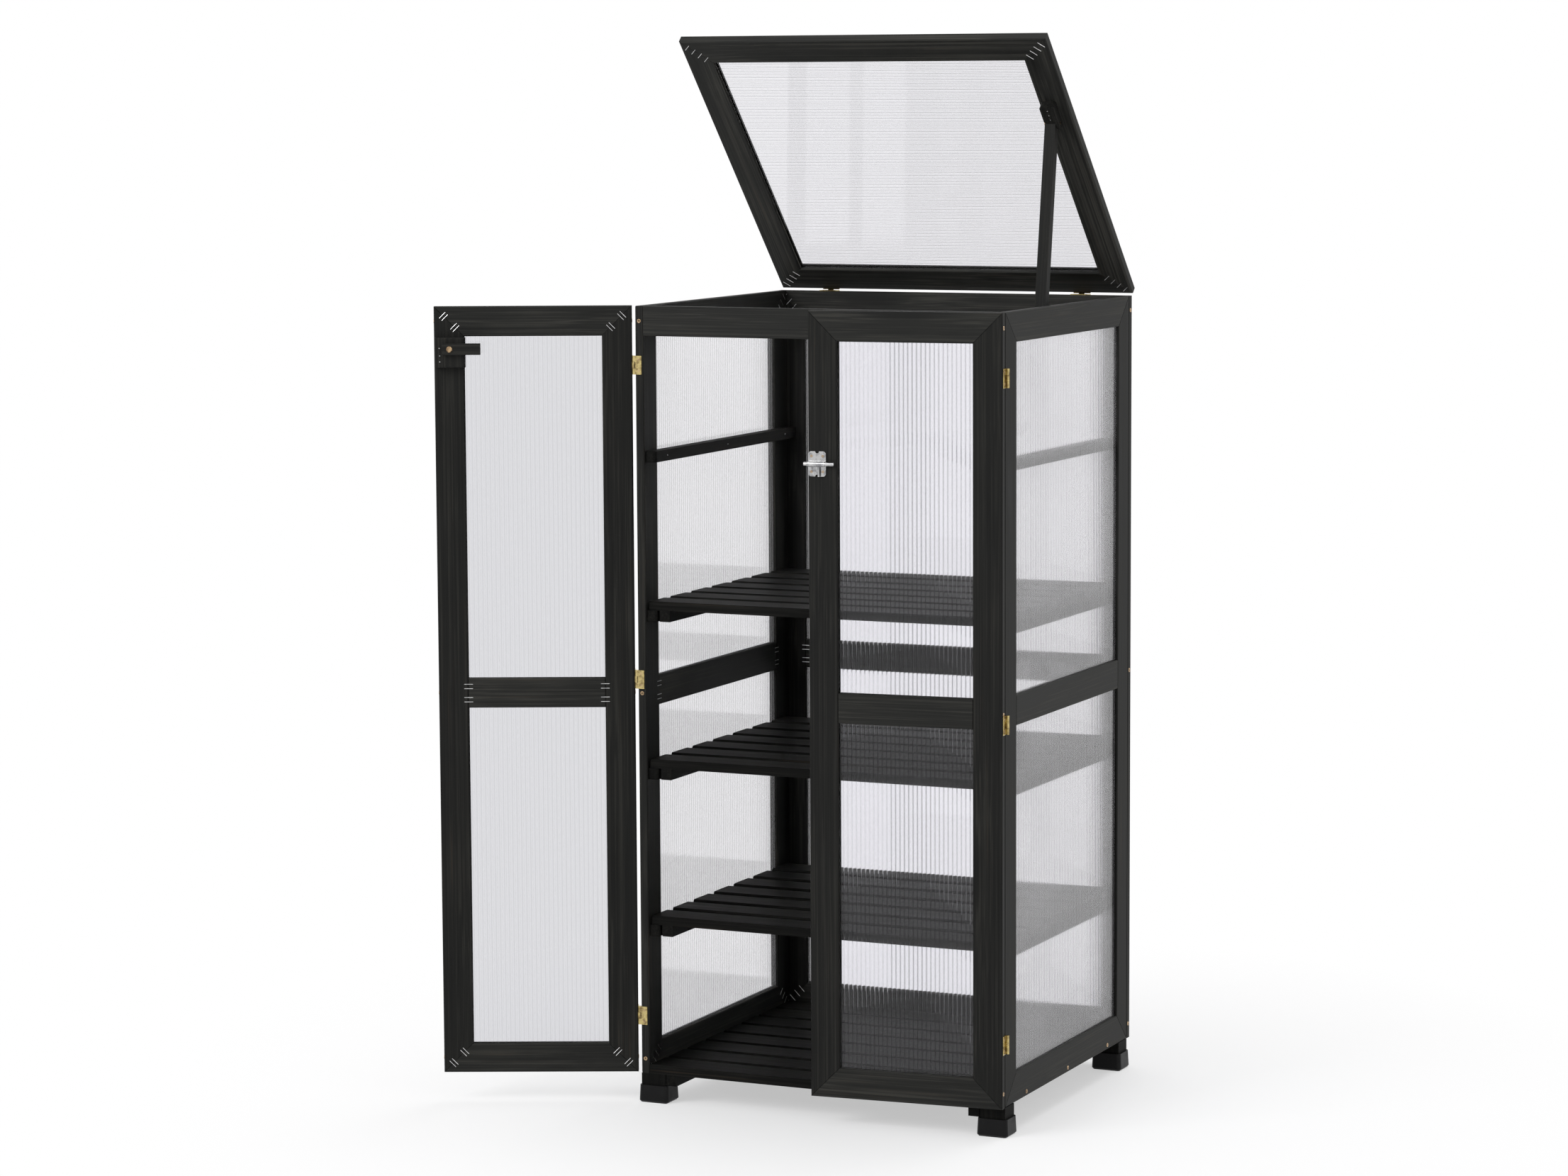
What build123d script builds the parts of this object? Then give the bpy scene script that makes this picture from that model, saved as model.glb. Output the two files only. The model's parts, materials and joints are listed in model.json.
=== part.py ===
from build123d import *

import os
from math import cos, radians, sin, tan

# Mini greenhouse: a black-stained cabinet of mitred board frames glazed with twin-wall sheet, with two
# front doors, a propped lid and loose slatted shelves. Millimetres, +Z up. The origin is on the floor
# at the centre of the carcass, and the front faces -Y.

# Carcass
cabinet_width = 530.0
side_depth = 460.0
panel_height = 1040.0
panel_bottom = 40.0

# Boards and glazing. One flute is drawn for every four of the real sheet.
board_width = 40.0
board_thickness = 12.0
edge_ease = 1.2
mitre_ease = 0.6
sheet_thickness = 4.0
sheet_skin = 0.5
sheet_insert = 8.0
sheet_side_clearance = 0.1
sheet_end_clearance = 0.4
flute_pitch = 24.0
flute_web = 0.5

# Doors and lid
door_gap = 1.2
door_meeting_gap = 2.0
left_door_angle = 156.0
right_door_angle = 5.0
lid_depth = 482.0
lid_angle = 46.0

# Butt hinges
hinge_height = 25.0
hinge_barrel_radius = 2.5
hinge_barrel_sides = 10
hinge_pin_radius = 1.2
hinge_pin_clearance = 0.05
hinge_leaf_thickness = 1.0
hinge_leaf_width = 9.5
hinge_knuckle_gap = 0.2
hinge_side_gap = 0.2
hinge_plate_gap = 0.5
left_hinge_end_distance = 79.0
left_hinge_mid_rise = 18.5
right_hinge_end_distance = 84.5
right_hinge_mid_drop = 14.0
lid_hinge_end_distance = 75.0

# Shelves, floor and cleats
shelf_count = 3
shelf_first_height = 229.0
shelf_spacing = 214.0
cleat_size = 15.0
cleat_end_gap = 4.0
cleat_nose_radius = 5.0
slat_width = 50.0
slat_thickness = 12.0
slat_ease = 2.0
shelf_slat_count = 7
shelf_setback = 6.0
shelf_rear_clearance = 14.0
shelf_side_clearance = 2.0
batten_width = 15.0
batten_clearance = 1.0
floor_slat_count = 8
floor_side_clearance = 0.2

# Legs and foot caps
leg_width = 36.0
leg_depth = 32.0
cap_wall = 2.6
cap_floor = 4.0
cap_height = 24.0
cap_draft = 2.5
cap_clearance = 0.2
cap_corner_radius = 5.5
cap_sole_bevel = 2.5

# Latch of the left door
latch_edge_margin = 2.0
latch_rail_clearance = 1.0
latch_running_clearance = 0.3
button_length = 51.0
button_width = 15.0
button_thickness = 8.0
button_pivot_from_end = 10.0
button_pivot_from_block_top = 15.0
pivot_screw_radius = 2.0
pivot_screw_clearance = 0.05
pivot_screw_head_radius = 4.0
pivot_screw_head_height = 1.6
pivot_screw_length = 18.0

# Barrel bolt of the right door
bolt_plate_width = 24.0
bolt_plate_height = 33.0
bolt_plate_thickness = 1.2
bolt_plate_notch_radius = 2.6
bolt_plate_corner_radius = 4.0
bolt_edge_margin = 0.8
bolt_height = 880.5
bolt_rod_radius = 2.8
bolt_rod_length = 42.0
bolt_rod_overhang = 5.0
bolt_rod_tip_chamfer = 0.8
bolt_clearance = 0.1
bolt_barrel_wall = 0.9
bolt_slit_width = 3.4
bolt_handle_radius = 1.4
bolt_handle_length = 16.5
bolt_handle_offset = 3.0
keeper_width = 10.0
keeper_edge_margin = 5.0
keeper_clearance = 0.4

# Lid prop
prop_width = 15.0
prop_thickness = 12.0
prop_length = 265.0
prop_angle = 52.6
prop_block_width = 20.0
prop_block_length = 28.0
prop_block_chamfer = 2.0
prop_block_inset = 16.0
prop_block_from_front = 141.0
prop_clearance = 0.3

# Places that follow from the sizes above
half_width = cabinet_width / 2
inner_half_width = half_width - board_thickness
carcass_depth = side_depth + board_thickness
front_y = -carcass_depth / 2
back_y = carcass_depth / 2
panel_top = panel_bottom + panel_height
mid_height = panel_height / 2
door_width = (cabinet_width - door_meeting_gap) / 2
shelf_depth = side_depth - shelf_setback - shelf_rear_clearance
groove_depth = sheet_insert + sheet_end_clearance
groove_width = sheet_thickness + 2 * sheet_side_clearance
groove_inset = (board_thickness - groove_width) / 2
cap_flare = cap_height * tan(radians(cap_draft))
cap_width = leg_width + 2 * (cap_clearance + cap_wall + cap_flare)
cap_depth = leg_depth + 2 * (cap_clearance + cap_wall + cap_flare)
rod_axis_height = bolt_plate_thickness + bolt_rod_radius + bolt_clearance
hinge_axis_out = half_width + hinge_barrel_radius + hinge_side_gap
hinge_axis_back = hinge_barrel_radius - hinge_leaf_thickness
hinge_bore_radius = hinge_pin_radius + hinge_pin_clearance

os.makedirs("parts", exist_ok=True)


def save(piece, label):
    """Label one finished piece and write it as a STEP file of that name."""
    piece.part.label = label
    export_step(piece.part, f"parts/{label}.step")


def turned(plane, centre, rotation):
    """The plane carried round by a rotation about a fixed centre."""
    away = Pos(-centre[0], -centre[1], -centre[2])
    return Plane(Pos(*centre) * Rot(*rotation) * away * plane.location)


# Each panel has a plane on the lower left corner of its outer face, seen from outside: local X runs
# along its width, local Y up (or back, on the lid) and the normal points outwards.
left_side_plane = Plane(
    origin=(-half_width, front_y + side_depth, panel_bottom), x_dir=(0, -1, 0), z_dir=(-1, 0, 0)
)
right_side_plane = Plane(origin=(half_width, front_y, panel_bottom), x_dir=(0, 1, 0), z_dir=(1, 0, 0))
back_plane = Plane(origin=(half_width, back_y, panel_bottom), x_dir=(-1, 0, 0), z_dir=(0, 1, 0))

# The doors and the lid are drawn closed and then turned open about their hinge pins.
door_face_y = front_y - door_gap - board_thickness
left_hinge_axis = (-hinge_axis_out, front_y + hinge_axis_back, 0)
right_hinge_axis = (hinge_axis_out, front_y + hinge_axis_back, 0)
lid_hinge_axis = (0, back_y + hinge_barrel_radius + hinge_side_gap, panel_top - hinge_axis_back)
left_door_turn = (0, 0, -left_door_angle)
right_door_turn = (0, 0, right_door_angle)
lid_turn = (-lid_angle, 0, 0)
left_door_plane = turned(
    Plane(origin=(-half_width, door_face_y, panel_bottom), x_dir=(1, 0, 0), z_dir=(0, -1, 0)),
    left_hinge_axis,
    left_door_turn,
)
right_door_plane = turned(
    Plane(origin=(door_meeting_gap / 2, door_face_y, panel_bottom), x_dir=(1, 0, 0), z_dir=(0, -1, 0)),
    right_hinge_axis,
    right_door_turn,
)
lid_plane = turned(
    Plane(origin=(-half_width, back_y - lid_depth, panel_top + door_gap + board_thickness)),
    lid_hinge_axis,
    lid_turn,
)


# Mitred frames: every board is grooved on its inner edges for the sheet it holds.
def frame_openings(width, height, has_mid_rail):
    """The glazed openings of a frame, each as (left, bottom, right, top)."""
    low, right, top = board_width, width - board_width, height - board_width
    if not has_mid_rail:
        return [(low, low, right, top)]
    below_rail = (height - board_width) / 2
    above_rail = (height + board_width) / 2
    return [(low, low, right, below_rail), (low, above_rail, right, top)]


def board(plane, outline, grain, openings):
    """One board of a frame: its outline, eased on its faces' edges and grooved round the openings."""
    with BuildPart() as piece:
        with BuildSketch(plane):
            with BuildLine():
                Polyline(*outline, close=True)
            make_face()
        extrude(amount=-board_thickness)
        along_grain = Axis((0, 0, 0), grain)
        face_edges = piece.edges().filter_by(lambda edge: abs(edge.tangent_at(0).dot(plane.z_dir)) < 0.1)
        chamfer(face_edges - face_edges.filter_by(along_grain), mitre_ease)
        chamfer(piece.edges().filter_by(along_grain), edge_ease)
        with BuildSketch(plane.offset(-groove_inset)):
            for left, bottom, right, top in openings:
                with Locations(((left + right) / 2, (bottom + top) / 2)):
                    Rectangle(right - left + 2 * groove_depth, top - bottom + 2 * groove_depth)
        extrude(amount=-groove_width, mode=Mode.SUBTRACT)
    return piece


def frame_outlines(width, height):
    """Outlines of the two stiles and the three rails of a frame."""
    inner = board_width
    far, top = width - board_width, height - board_width
    rail_low, rail_high = (height - board_width) / 2, (height + board_width) / 2
    return {
        "near_stile": [(0, 0), (inner, inner), (inner, top), (0, height)],
        "far_stile": [(width, 0), (width, height), (far, top), (far, inner)],
        "bottom_rail": [(0, 0), (width, 0), (far, inner), (inner, inner)],
        "top_rail": [(0, height), (inner, top), (far, top), (width, height)],
        "mid_rail": [(inner, rail_low), (far, rail_low), (far, rail_high), (inner, rail_high)],
    }


def twin_wall_sheets(plane, openings, flutes_upright):
    """Twin-wall sheets in the openings: two skins joined by webs, with flutes open at both ends."""
    with BuildPart() as piece:
        for left, bottom, right, top in openings:
            width = right - left + 2 * sheet_insert
            height = top - bottom + 2 * sheet_insert
            middle = ((left + right) / 2, (bottom + top) / 2, -board_thickness / 2)
            across, length = (width, height) if flutes_upright else (height, width)
            along = plane.y_dir if flutes_upright else plane.x_dir
            sideways = plane.x_dir if flutes_upright else plane.y_dir
            section = Plane(plane.from_local_coords(middle), x_dir=sideways, z_dir=along)
            flutes = int((across - flute_web) // flute_pitch)
            with BuildSketch(section.offset(-length / 2)):
                Rectangle(across, sheet_thickness)
                with GridLocations(flute_pitch, 0, flutes, 1):
                    Rectangle(
                        flute_pitch - flute_web, sheet_thickness - 2 * sheet_skin, mode=Mode.SUBTRACT
                    )
            extrude(amount=length)
    return piece


frames = [
    ("left_side", left_side_plane, side_depth, "rear_stile", "front_stile"),
    ("right_side", right_side_plane, side_depth, "front_stile", "rear_stile"),
    ("left_door", left_door_plane, door_width, "hinge_stile", "free_stile"),
    ("right_door", right_door_plane, door_width, "free_stile", "hinge_stile"),
]
for frame_name, plane, width, near_name, far_name in frames:
    openings = frame_openings(width, panel_height, True)
    outlines = frame_outlines(width, panel_height)
    save(board(plane, outlines["near_stile"], plane.y_dir, openings), f"{frame_name}_{near_name}")
    save(board(plane, outlines["far_stile"], plane.y_dir, openings), f"{frame_name}_{far_name}")
    for rail in ("top_rail", "mid_rail", "bottom_rail"):
        save(board(plane, outlines[rail], plane.x_dir, openings), f"{frame_name}_{rail}")
    save(twin_wall_sheets(plane, openings, True), f"{frame_name}_sheets")

back_openings = frame_openings(cabinet_width, panel_height, True)
back_outlines = frame_outlines(cabinet_width, panel_height)
back_boards = [
    board(back_plane, back_outlines[stile], back_plane.y_dir, back_openings)
    for stile in ("near_stile", "far_stile")
]
with BuildPart() as back_stiles:
    for stile in back_boards:
        add(stile.part)
save(back_stiles, "back_stiles")
for rail in ("top_rail", "mid_rail", "bottom_rail"):
    save(board(back_plane, back_outlines[rail], back_plane.x_dir, back_openings), f"back_{rail}")
save(twin_wall_sheets(back_plane, back_openings, True), "back_sheets")

lid_openings = frame_openings(cabinet_width, lid_depth, False)
lid_outlines = frame_outlines(cabinet_width, lid_depth)
lid_boards = {
    "lid_left_rail": ("near_stile", lid_plane.y_dir),
    "lid_right_rail": ("far_stile", lid_plane.y_dir),
    "lid_front_rail": ("bottom_rail", lid_plane.x_dir),
    "lid_rear_rail": ("top_rail", lid_plane.x_dir),
}
for lid_name, (outline, grain) in lid_boards.items():
    save(board(lid_plane, lid_outlines[outline], grain, lid_openings), lid_name)
save(twin_wall_sheets(lid_plane, lid_openings, False), "lid_sheet")

# The front top rail closes the carcass between the sides, above the doors' opening.
with BuildPart() as front_top_rail:
    rail_plane = Plane(origin=(0, front_y, panel_top - board_width / 2), x_dir=(1, 0, 0), z_dir=(0, -1, 0))
    with BuildSketch(rail_plane):
        Rectangle(2 * inner_half_width, board_width)
    extrude(amount=-board_thickness)
    chamfer(front_top_rail.edges().filter_by(Axis.X), edge_ease)
save(front_top_rail, "front_top_rail")

# Shelf cleats run front to back on the sides, with rounded noses. The top pair is spare.
cleat_length = side_depth - 2 * cleat_end_gap
with BuildPart() as shelf_cleats:
    for level in range(shelf_count + 1):
        cleat_z = shelf_first_height + level * shelf_spacing
        for side in (-1, 1):
            with BuildSketch(Plane.XY.offset(cleat_z)):
                with Locations((side * (inner_half_width - cleat_size / 2), front_y + side_depth / 2)):
                    Rectangle(cleat_size, cleat_length)
            extrude(amount=cleat_size)
    noses = shelf_cleats.edges().filter_by(Axis.Z).group_by(Axis.Y)[0]
    inner_noses = noses.filter_by(lambda edge: abs(edge.center().X) < inner_half_width - cleat_size / 2)
    fillet(inner_noses, cleat_nose_radius)
save(shelf_cleats, "shelf_cleats")


def slats(count, length, depth, start_y, base_z):
    """A row of slats across the cabinet, eased along their top edges."""
    pitch = (depth - slat_width) / (count - 1)
    with BuildPart() as piece:
        with BuildSketch(Plane.XY.offset(base_z)):
            with Locations((0, start_y + depth / 2)):
                with GridLocations(0, pitch, 1, count):
                    Rectangle(length, slat_width)
        extrude(amount=slat_thickness)
        chamfer(piece.edges().filter_by(Axis.X).group_by(Axis.Z)[-1], slat_ease)
    return piece


def battens(centre_x, length, start_y, base_z):
    """A pair of battens, front to back, that the slats are nailed to."""
    with BuildPart() as piece:
        with BuildSketch(Plane.XY.offset(base_z)):
            with Locations((-centre_x, start_y + length / 2), (centre_x, start_y + length / 2)):
                Rectangle(batten_width, length)
        extrude(amount=cleat_size)
    return piece


shelf_length = 2 * (inner_half_width - shelf_side_clearance)
shelf_batten_x = inner_half_width - cleat_size - shelf_side_clearance - batten_clearance - batten_width / 2
shelf_start_y = front_y + shelf_setback
for level, shelf_name in enumerate(("lower_shelf", "middle_shelf", "upper_shelf")):
    cleat_z = shelf_first_height + level * shelf_spacing
    shelf_z = cleat_z + cleat_size
    save(slats(shelf_slat_count, shelf_length, shelf_depth, shelf_start_y, shelf_z), f"{shelf_name}_slats")
    save(battens(shelf_batten_x, shelf_depth, shelf_start_y, cleat_z), f"{shelf_name}_battens")

# The floor: slats between the sides, on two battens just inside the legs.
floor_length = 2 * (inner_half_width - floor_side_clearance)
floor_batten_x = half_width - leg_width - batten_clearance - batten_width / 2
save(slats(floor_slat_count, floor_length, side_depth, front_y, panel_bottom), "floor_slats")
save(battens(floor_batten_x, side_depth, front_y, panel_bottom - cleat_size), "floor_battens")

# Four short legs under the sides, each in a rounded plastic cap.
leg_places = [
    (side * (half_width - leg_width / 2), front_y + offset)
    for side in (-1, 1)
    for offset in (leg_depth / 2, side_depth - leg_depth / 2)
]
with BuildPart() as legs:
    with BuildSketch(Plane.XY.offset(cap_floor)):
        with Locations(*leg_places):
            Rectangle(leg_width, leg_depth)
    extrude(amount=panel_bottom - cap_floor)
save(legs, "legs")

with BuildPart() as foot_caps:
    with BuildSketch():
        with Locations(*leg_places):
            Rectangle(cap_width, cap_depth)
    extrude(amount=cap_height, taper=cap_draft)
    corners = foot_caps.edges().filter_by(lambda edge: abs(edge.tangent_at(0).Z) > 0.5)
    fillet(corners, cap_corner_radius)
    chamfer(foot_caps.edges().group_by(Axis.Z)[0], cap_sole_bevel)
    with BuildSketch(Plane.XY.offset(cap_floor)):
        with Locations(*leg_places):
            Rectangle(leg_width + 2 * cap_clearance, leg_depth + 2 * cap_clearance)
    extrude(amount=cap_height, mode=Mode.SUBTRACT)
save(foot_caps, "foot_caps")


# Butt hinges: round pins in small many-sided barrels. In a hinge's plane the pin is at the origin,
# local X runs along the fixed leaf and local Y points out of the edge that this leaf lies on.
# The moving leaf stands at a right angle when closed.
knuckle_height = (hinge_height - 2 * hinge_knuckle_gap) / 3
knuckle_step = knuckle_height + hinge_knuckle_gap
plate_start = hinge_barrel_radius + hinge_plate_gap
plate_end = hinge_barrel_radius + hinge_side_gap + hinge_leaf_width


def leaf_strip(start, end, low, high, upright):
    """A strip of leaf from start to end along the leaf and from low to high through it."""
    along, through = (start + end) / 2, (low + high) / 2
    with Locations((through, along) if upright else (along, through)):
        if upright:
            Rectangle(high - low, end - start)
        else:
            Rectangle(end - start, high - low)


def hinge_leaf(plane, knuckles, low, high, upright):
    """One leaf: a plate with its rolled knuckles, lying along local X or standing along local Y."""
    bottom = plane.offset(-hinge_height / 2)
    with BuildPart() as piece:
        with BuildSketch(bottom):
            leaf_strip(plate_start, plate_end, low, high, upright)
        extrude(amount=hinge_height)
        for knuckle in knuckles:
            with BuildSketch(bottom.offset(knuckle * knuckle_step)):
                RegularPolygon(hinge_barrel_radius, hinge_barrel_sides)
                leaf_strip(0, plate_start, low, high, upright)
                RegularPolygon(
                    hinge_bore_radius, hinge_barrel_sides, major_radius=False, mode=Mode.SUBTRACT
                )
            extrude(amount=knuckle_height)
    return piece


def fixed_leaf(plane):
    """The leaf on the carcass, with the two outer knuckles."""
    return hinge_leaf(plane, (0, 2), hinge_barrel_radius - hinge_leaf_thickness, hinge_barrel_radius, False)


def moving_leaf(plane):
    """The leaf on a door or the lid, with the middle knuckle."""
    edge = hinge_barrel_radius + hinge_side_gap
    return hinge_leaf(plane, (1,), edge - hinge_leaf_thickness, edge, True)


left_hinge_heights = (
    panel_bottom + left_hinge_end_distance,
    panel_bottom + mid_height + left_hinge_mid_rise,
    panel_top - left_hinge_end_distance,
)
right_hinge_heights = (
    panel_bottom + right_hinge_end_distance,
    panel_bottom + mid_height - right_hinge_mid_drop,
    panel_top - right_hinge_end_distance,
)
lid_hinge_x = half_width - lid_hinge_end_distance
left_hinge_planes = [
    Plane(origin=(left_hinge_axis[0], left_hinge_axis[1], height), x_dir=(1, 0, 0), z_dir=(0, 0, -1))
    for height in left_hinge_heights
]
right_hinge_planes = [
    Plane(origin=(right_hinge_axis[0], right_hinge_axis[1], height), x_dir=(-1, 0, 0), z_dir=(0, 0, 1))
    for height in right_hinge_heights
]
lid_hinge_planes = [
    Plane(origin=(place, lid_hinge_axis[1], lid_hinge_axis[2]), x_dir=(0, -1, 0), z_dir=(-1, 0, 0))
    for place in (-lid_hinge_x, lid_hinge_x)
]
hinge_planes = left_hinge_planes + right_hinge_planes + lid_hinge_planes

fixed_leaves = [fixed_leaf(plane) for plane in hinge_planes]
with BuildPart() as cabinet_hinge_leaves:
    for leaf in fixed_leaves:
        add(leaf.part)
save(cabinet_hinge_leaves, "cabinet_hinge_leaves")

moving_hinges = {
    "left_door_hinge_leaves": (left_hinge_planes, left_hinge_axis, left_door_turn),
    "right_door_hinge_leaves": (right_hinge_planes, right_hinge_axis, right_door_turn),
    "lid_hinge_leaves": (lid_hinge_planes, lid_hinge_axis, lid_turn),
}
for leaves_name, (planes, centre, rotation) in moving_hinges.items():
    leaves = [moving_leaf(turned(plane, centre, rotation)) for plane in planes]
    with BuildPart() as moving_leaves:
        for leaf in leaves:
            add(leaf.part)
    save(moving_leaves, leaves_name)

with BuildPart() as hinge_pins:
    for plane in hinge_planes:
        with BuildSketch(plane.offset(-hinge_height / 2)):
            Circle(hinge_pin_radius)
        extrude(amount=hinge_height)
save(hinge_pins, "hinge_pins")

# The left door's latch: a block on its inner face carries a wooden button that turns up behind the
# front top rail.
block_thickness = board_thickness + door_gap + latch_running_clearance
block_centre_x = door_width - latch_edge_margin - board_width / 2
block_top = panel_height - board_width - latch_rail_clearance
button_pivot = (block_centre_x, block_top - button_pivot_from_block_top)
door_inside = left_door_plane.offset(-board_thickness)
block_inside = door_inside.offset(-block_thickness)
button_face = block_inside.offset(-button_thickness)
pivot_bore_radius = pivot_screw_radius + pivot_screw_clearance

with BuildPart() as latch_block:
    with BuildSketch(door_inside):
        with Locations((block_centre_x, block_top - board_width / 2)):
            Rectangle(board_width, board_width)
    extrude(amount=-block_thickness)
    chamfer(latch_block.faces().sort_by(Axis(door_inside.origin, door_inside.z_dir))[0].edges(), edge_ease)
    with BuildSketch(block_inside):
        with Locations(button_pivot):
            Circle(pivot_bore_radius)
    extrude(amount=block_thickness, mode=Mode.SUBTRACT)
save(latch_block, "latch_block")

with BuildPart() as turn_button:
    with BuildSketch(block_inside):
        with Locations((button_pivot[0] + button_pivot_from_end - button_length / 2, button_pivot[1])):
            Rectangle(button_length, button_width)
        with Locations(button_pivot):
            Circle(pivot_bore_radius, mode=Mode.SUBTRACT)
    extrude(amount=-button_thickness)
save(turn_button, "turn_button")

with BuildPart() as turn_button_screw:
    with BuildSketch(button_face):
        with Locations(button_pivot):
            Circle(pivot_screw_head_radius)
    extrude(amount=-pivot_screw_head_height)
    chamfer(
        turn_button_screw.faces().sort_by(Axis(button_face.origin, button_face.z_dir))[0].edges(),
        pivot_screw_head_height / 2,
    )
    with BuildSketch(button_face):
        with Locations(button_pivot):
            Circle(pivot_screw_radius)
    extrude(amount=pivot_screw_length)
save(turn_button_screw, "turn_button_screw")


# The barrel bolt on the right door's free stile, on a plate that is notched at its top and bottom
# edges, and its keeper on the left door.
bolt_y = bolt_height - panel_bottom
bolt_centre_x = bolt_edge_margin + bolt_plate_width / 2
bolt_face = Plane(
    right_door_plane.from_local_coords((bolt_centre_x, bolt_y, 0)),
    x_dir=right_door_plane.x_dir,
    z_dir=right_door_plane.z_dir,
)
bolt_section = Plane(
    bolt_face.from_local_coords((0, 0, rod_axis_height)), x_dir=bolt_face.y_dir, z_dir=bolt_face.x_dir
)
barrel_bore_radius = bolt_rod_radius + bolt_clearance
barrel_radius = barrel_bore_radius + bolt_barrel_wall

with BuildPart() as bolt_plate:
    with BuildSketch(bolt_face):
        RectangleRounded(bolt_plate_width, bolt_plate_height, bolt_plate_corner_radius)
        with Locations((0, bolt_plate_height / 2), (0, -bolt_plate_height / 2)):
            Circle(bolt_plate_notch_radius, mode=Mode.SUBTRACT)
    extrude(amount=bolt_plate_thickness)
    with BuildSketch(bolt_section.offset(-bolt_plate_width / 2)):
        Circle(barrel_radius)
    extrude(amount=bolt_plate_width)
    with BuildSketch(bolt_section.offset(-bolt_plate_width / 2)):
        Circle(barrel_bore_radius)
        with Locations((-barrel_radius / 2, 0)):
            Rectangle(barrel_radius, bolt_slit_width)
    extrude(amount=bolt_plate_width, mode=Mode.SUBTRACT)
    split(bisect_by=bolt_face, keep=Keep.TOP)
save(bolt_plate, "bolt_plate")

rod_start = -bolt_centre_x - bolt_rod_overhang
with BuildPart() as bolt_rod:
    with BuildSketch(bolt_section.offset(rod_start)):
        Circle(bolt_rod_radius)
    extrude(amount=bolt_rod_length)
    chamfer(bolt_rod.edges().filter_by(GeomType.CIRCLE), bolt_rod_tip_chamfer)
    handle_plane = Plane(
        bolt_face.from_local_coords((bolt_handle_offset, 0, rod_axis_height)),
        x_dir=bolt_face.x_dir,
        z_dir=-bolt_face.y_dir,
    )
    with BuildSketch(handle_plane):
        Circle(bolt_handle_radius)
    extrude(amount=bolt_handle_length)
save(bolt_rod, "bolt_rod")

keeper_x = door_width - keeper_edge_margin - keeper_width / 2
keeper_face = Plane(
    left_door_plane.from_local_coords((keeper_x, bolt_y, 0)),
    x_dir=left_door_plane.x_dir,
    z_dir=left_door_plane.z_dir,
)
keeper_section = Plane(
    keeper_face.from_local_coords((0, 0, rod_axis_height)), x_dir=keeper_face.y_dir, z_dir=keeper_face.x_dir
)
keeper_bore_radius = bolt_rod_radius + keeper_clearance
with BuildPart() as bolt_keeper:
    with BuildSketch(keeper_face):
        Rectangle(keeper_width, bolt_plate_height)
    extrude(amount=bolt_plate_thickness)
    with BuildSketch(keeper_section.offset(-keeper_width / 2)):
        Circle(keeper_bore_radius + bolt_barrel_wall)
    extrude(amount=keeper_width)
    with BuildSketch(keeper_section.offset(-keeper_width / 2)):
        Circle(keeper_bore_radius)
    extrude(amount=keeper_width, mode=Mode.SUBTRACT)
    split(bisect_by=keeper_face, keep=Keep.TOP)
save(bolt_keeper, "bolt_keeper")

# The lid prop: a stick hung by a screw from the cheek of a block under the lid's right rail.
lid_under = lid_plane.offset(-board_thickness)
block_low_x = cabinet_width - prop_block_inset - prop_block_width
cheek_low_x = block_low_x + prop_width + prop_clearance
block_rear = prop_block_from_front
prop_pivot_y = block_rear + prop_thickness / 2 + prop_clearance
prop_pivot_depth = prop_thickness / 2 + prop_clearance
cheek_rear = prop_pivot_y + prop_thickness / 2

with BuildPart() as prop_block:
    with BuildSketch(lid_under):
        with Locations((block_low_x + prop_block_width / 2, block_rear - prop_block_length / 2)):
            Rectangle(prop_block_width, prop_block_length)
        with Locations(((cheek_low_x + block_low_x + prop_block_width) / 2, (block_rear + cheek_rear) / 2)):
            Rectangle(block_low_x + prop_block_width - cheek_low_x, cheek_rear - block_rear)
    extrude(amount=-(prop_thickness + prop_clearance))
    front_face = prop_block.faces().sort_by(Axis(lid_under.origin, lid_under.y_dir))[0]
    chamfer(front_face.edges().filter_by(Axis((0, 0, 0), lid_under.z_dir)), prop_block_chamfer)
    pivot_place = Plane(
        lid_under.from_local_coords((block_low_x, prop_pivot_y, -prop_pivot_depth)),
        x_dir=lid_under.y_dir,
        z_dir=lid_under.x_dir,
    )
    with BuildSketch(pivot_place):
        Circle(pivot_bore_radius)
    extrude(amount=prop_block_width, mode=Mode.SUBTRACT)
save(prop_block, "prop_block")

# The stick is drawn in the plane of its swing, with local X along it from the pivot to its foot.
stick_along = (
    lid_under.y_dir * cos(radians(prop_angle)) - lid_under.z_dir * sin(radians(prop_angle))
)
stick_plane = Plane(pivot_place.origin, x_dir=stick_along, z_dir=pivot_place.z_dir)
with BuildPart() as lid_prop:
    with BuildSketch(stick_plane):
        with Locations((prop_length / 2, 0)):
            Rectangle(prop_length, prop_thickness)
        Circle(prop_thickness / 2)
        Circle(pivot_bore_radius, mode=Mode.SUBTRACT)
    extrude(amount=prop_width)
save(lid_prop, "lid_prop")

with BuildPart() as prop_screw:
    with BuildSketch(pivot_place):
        Circle(pivot_screw_head_radius)
    extrude(amount=-pivot_screw_head_height)
    with BuildSketch(pivot_place):
        Circle(pivot_screw_radius)
    extrude(amount=prop_block_width)
save(prop_screw, "prop_screw")
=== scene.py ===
"""Looks of the mini greenhouse: black-stained boards, twin-wall sheets, hinges, bolt and small fixings.

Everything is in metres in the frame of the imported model: +Z up, the doors at -Y, the origin on the floor
at the centre of the carcass.
"""

import json
import logging
import math
from collections.abc import Iterable, Iterator
from dataclasses import dataclass, field
from enum import Enum
from fnmatch import fnmatchcase
from functools import cache
from itertools import product

import bmesh
import bpy
from mathutils import Matrix, Vector


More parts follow.
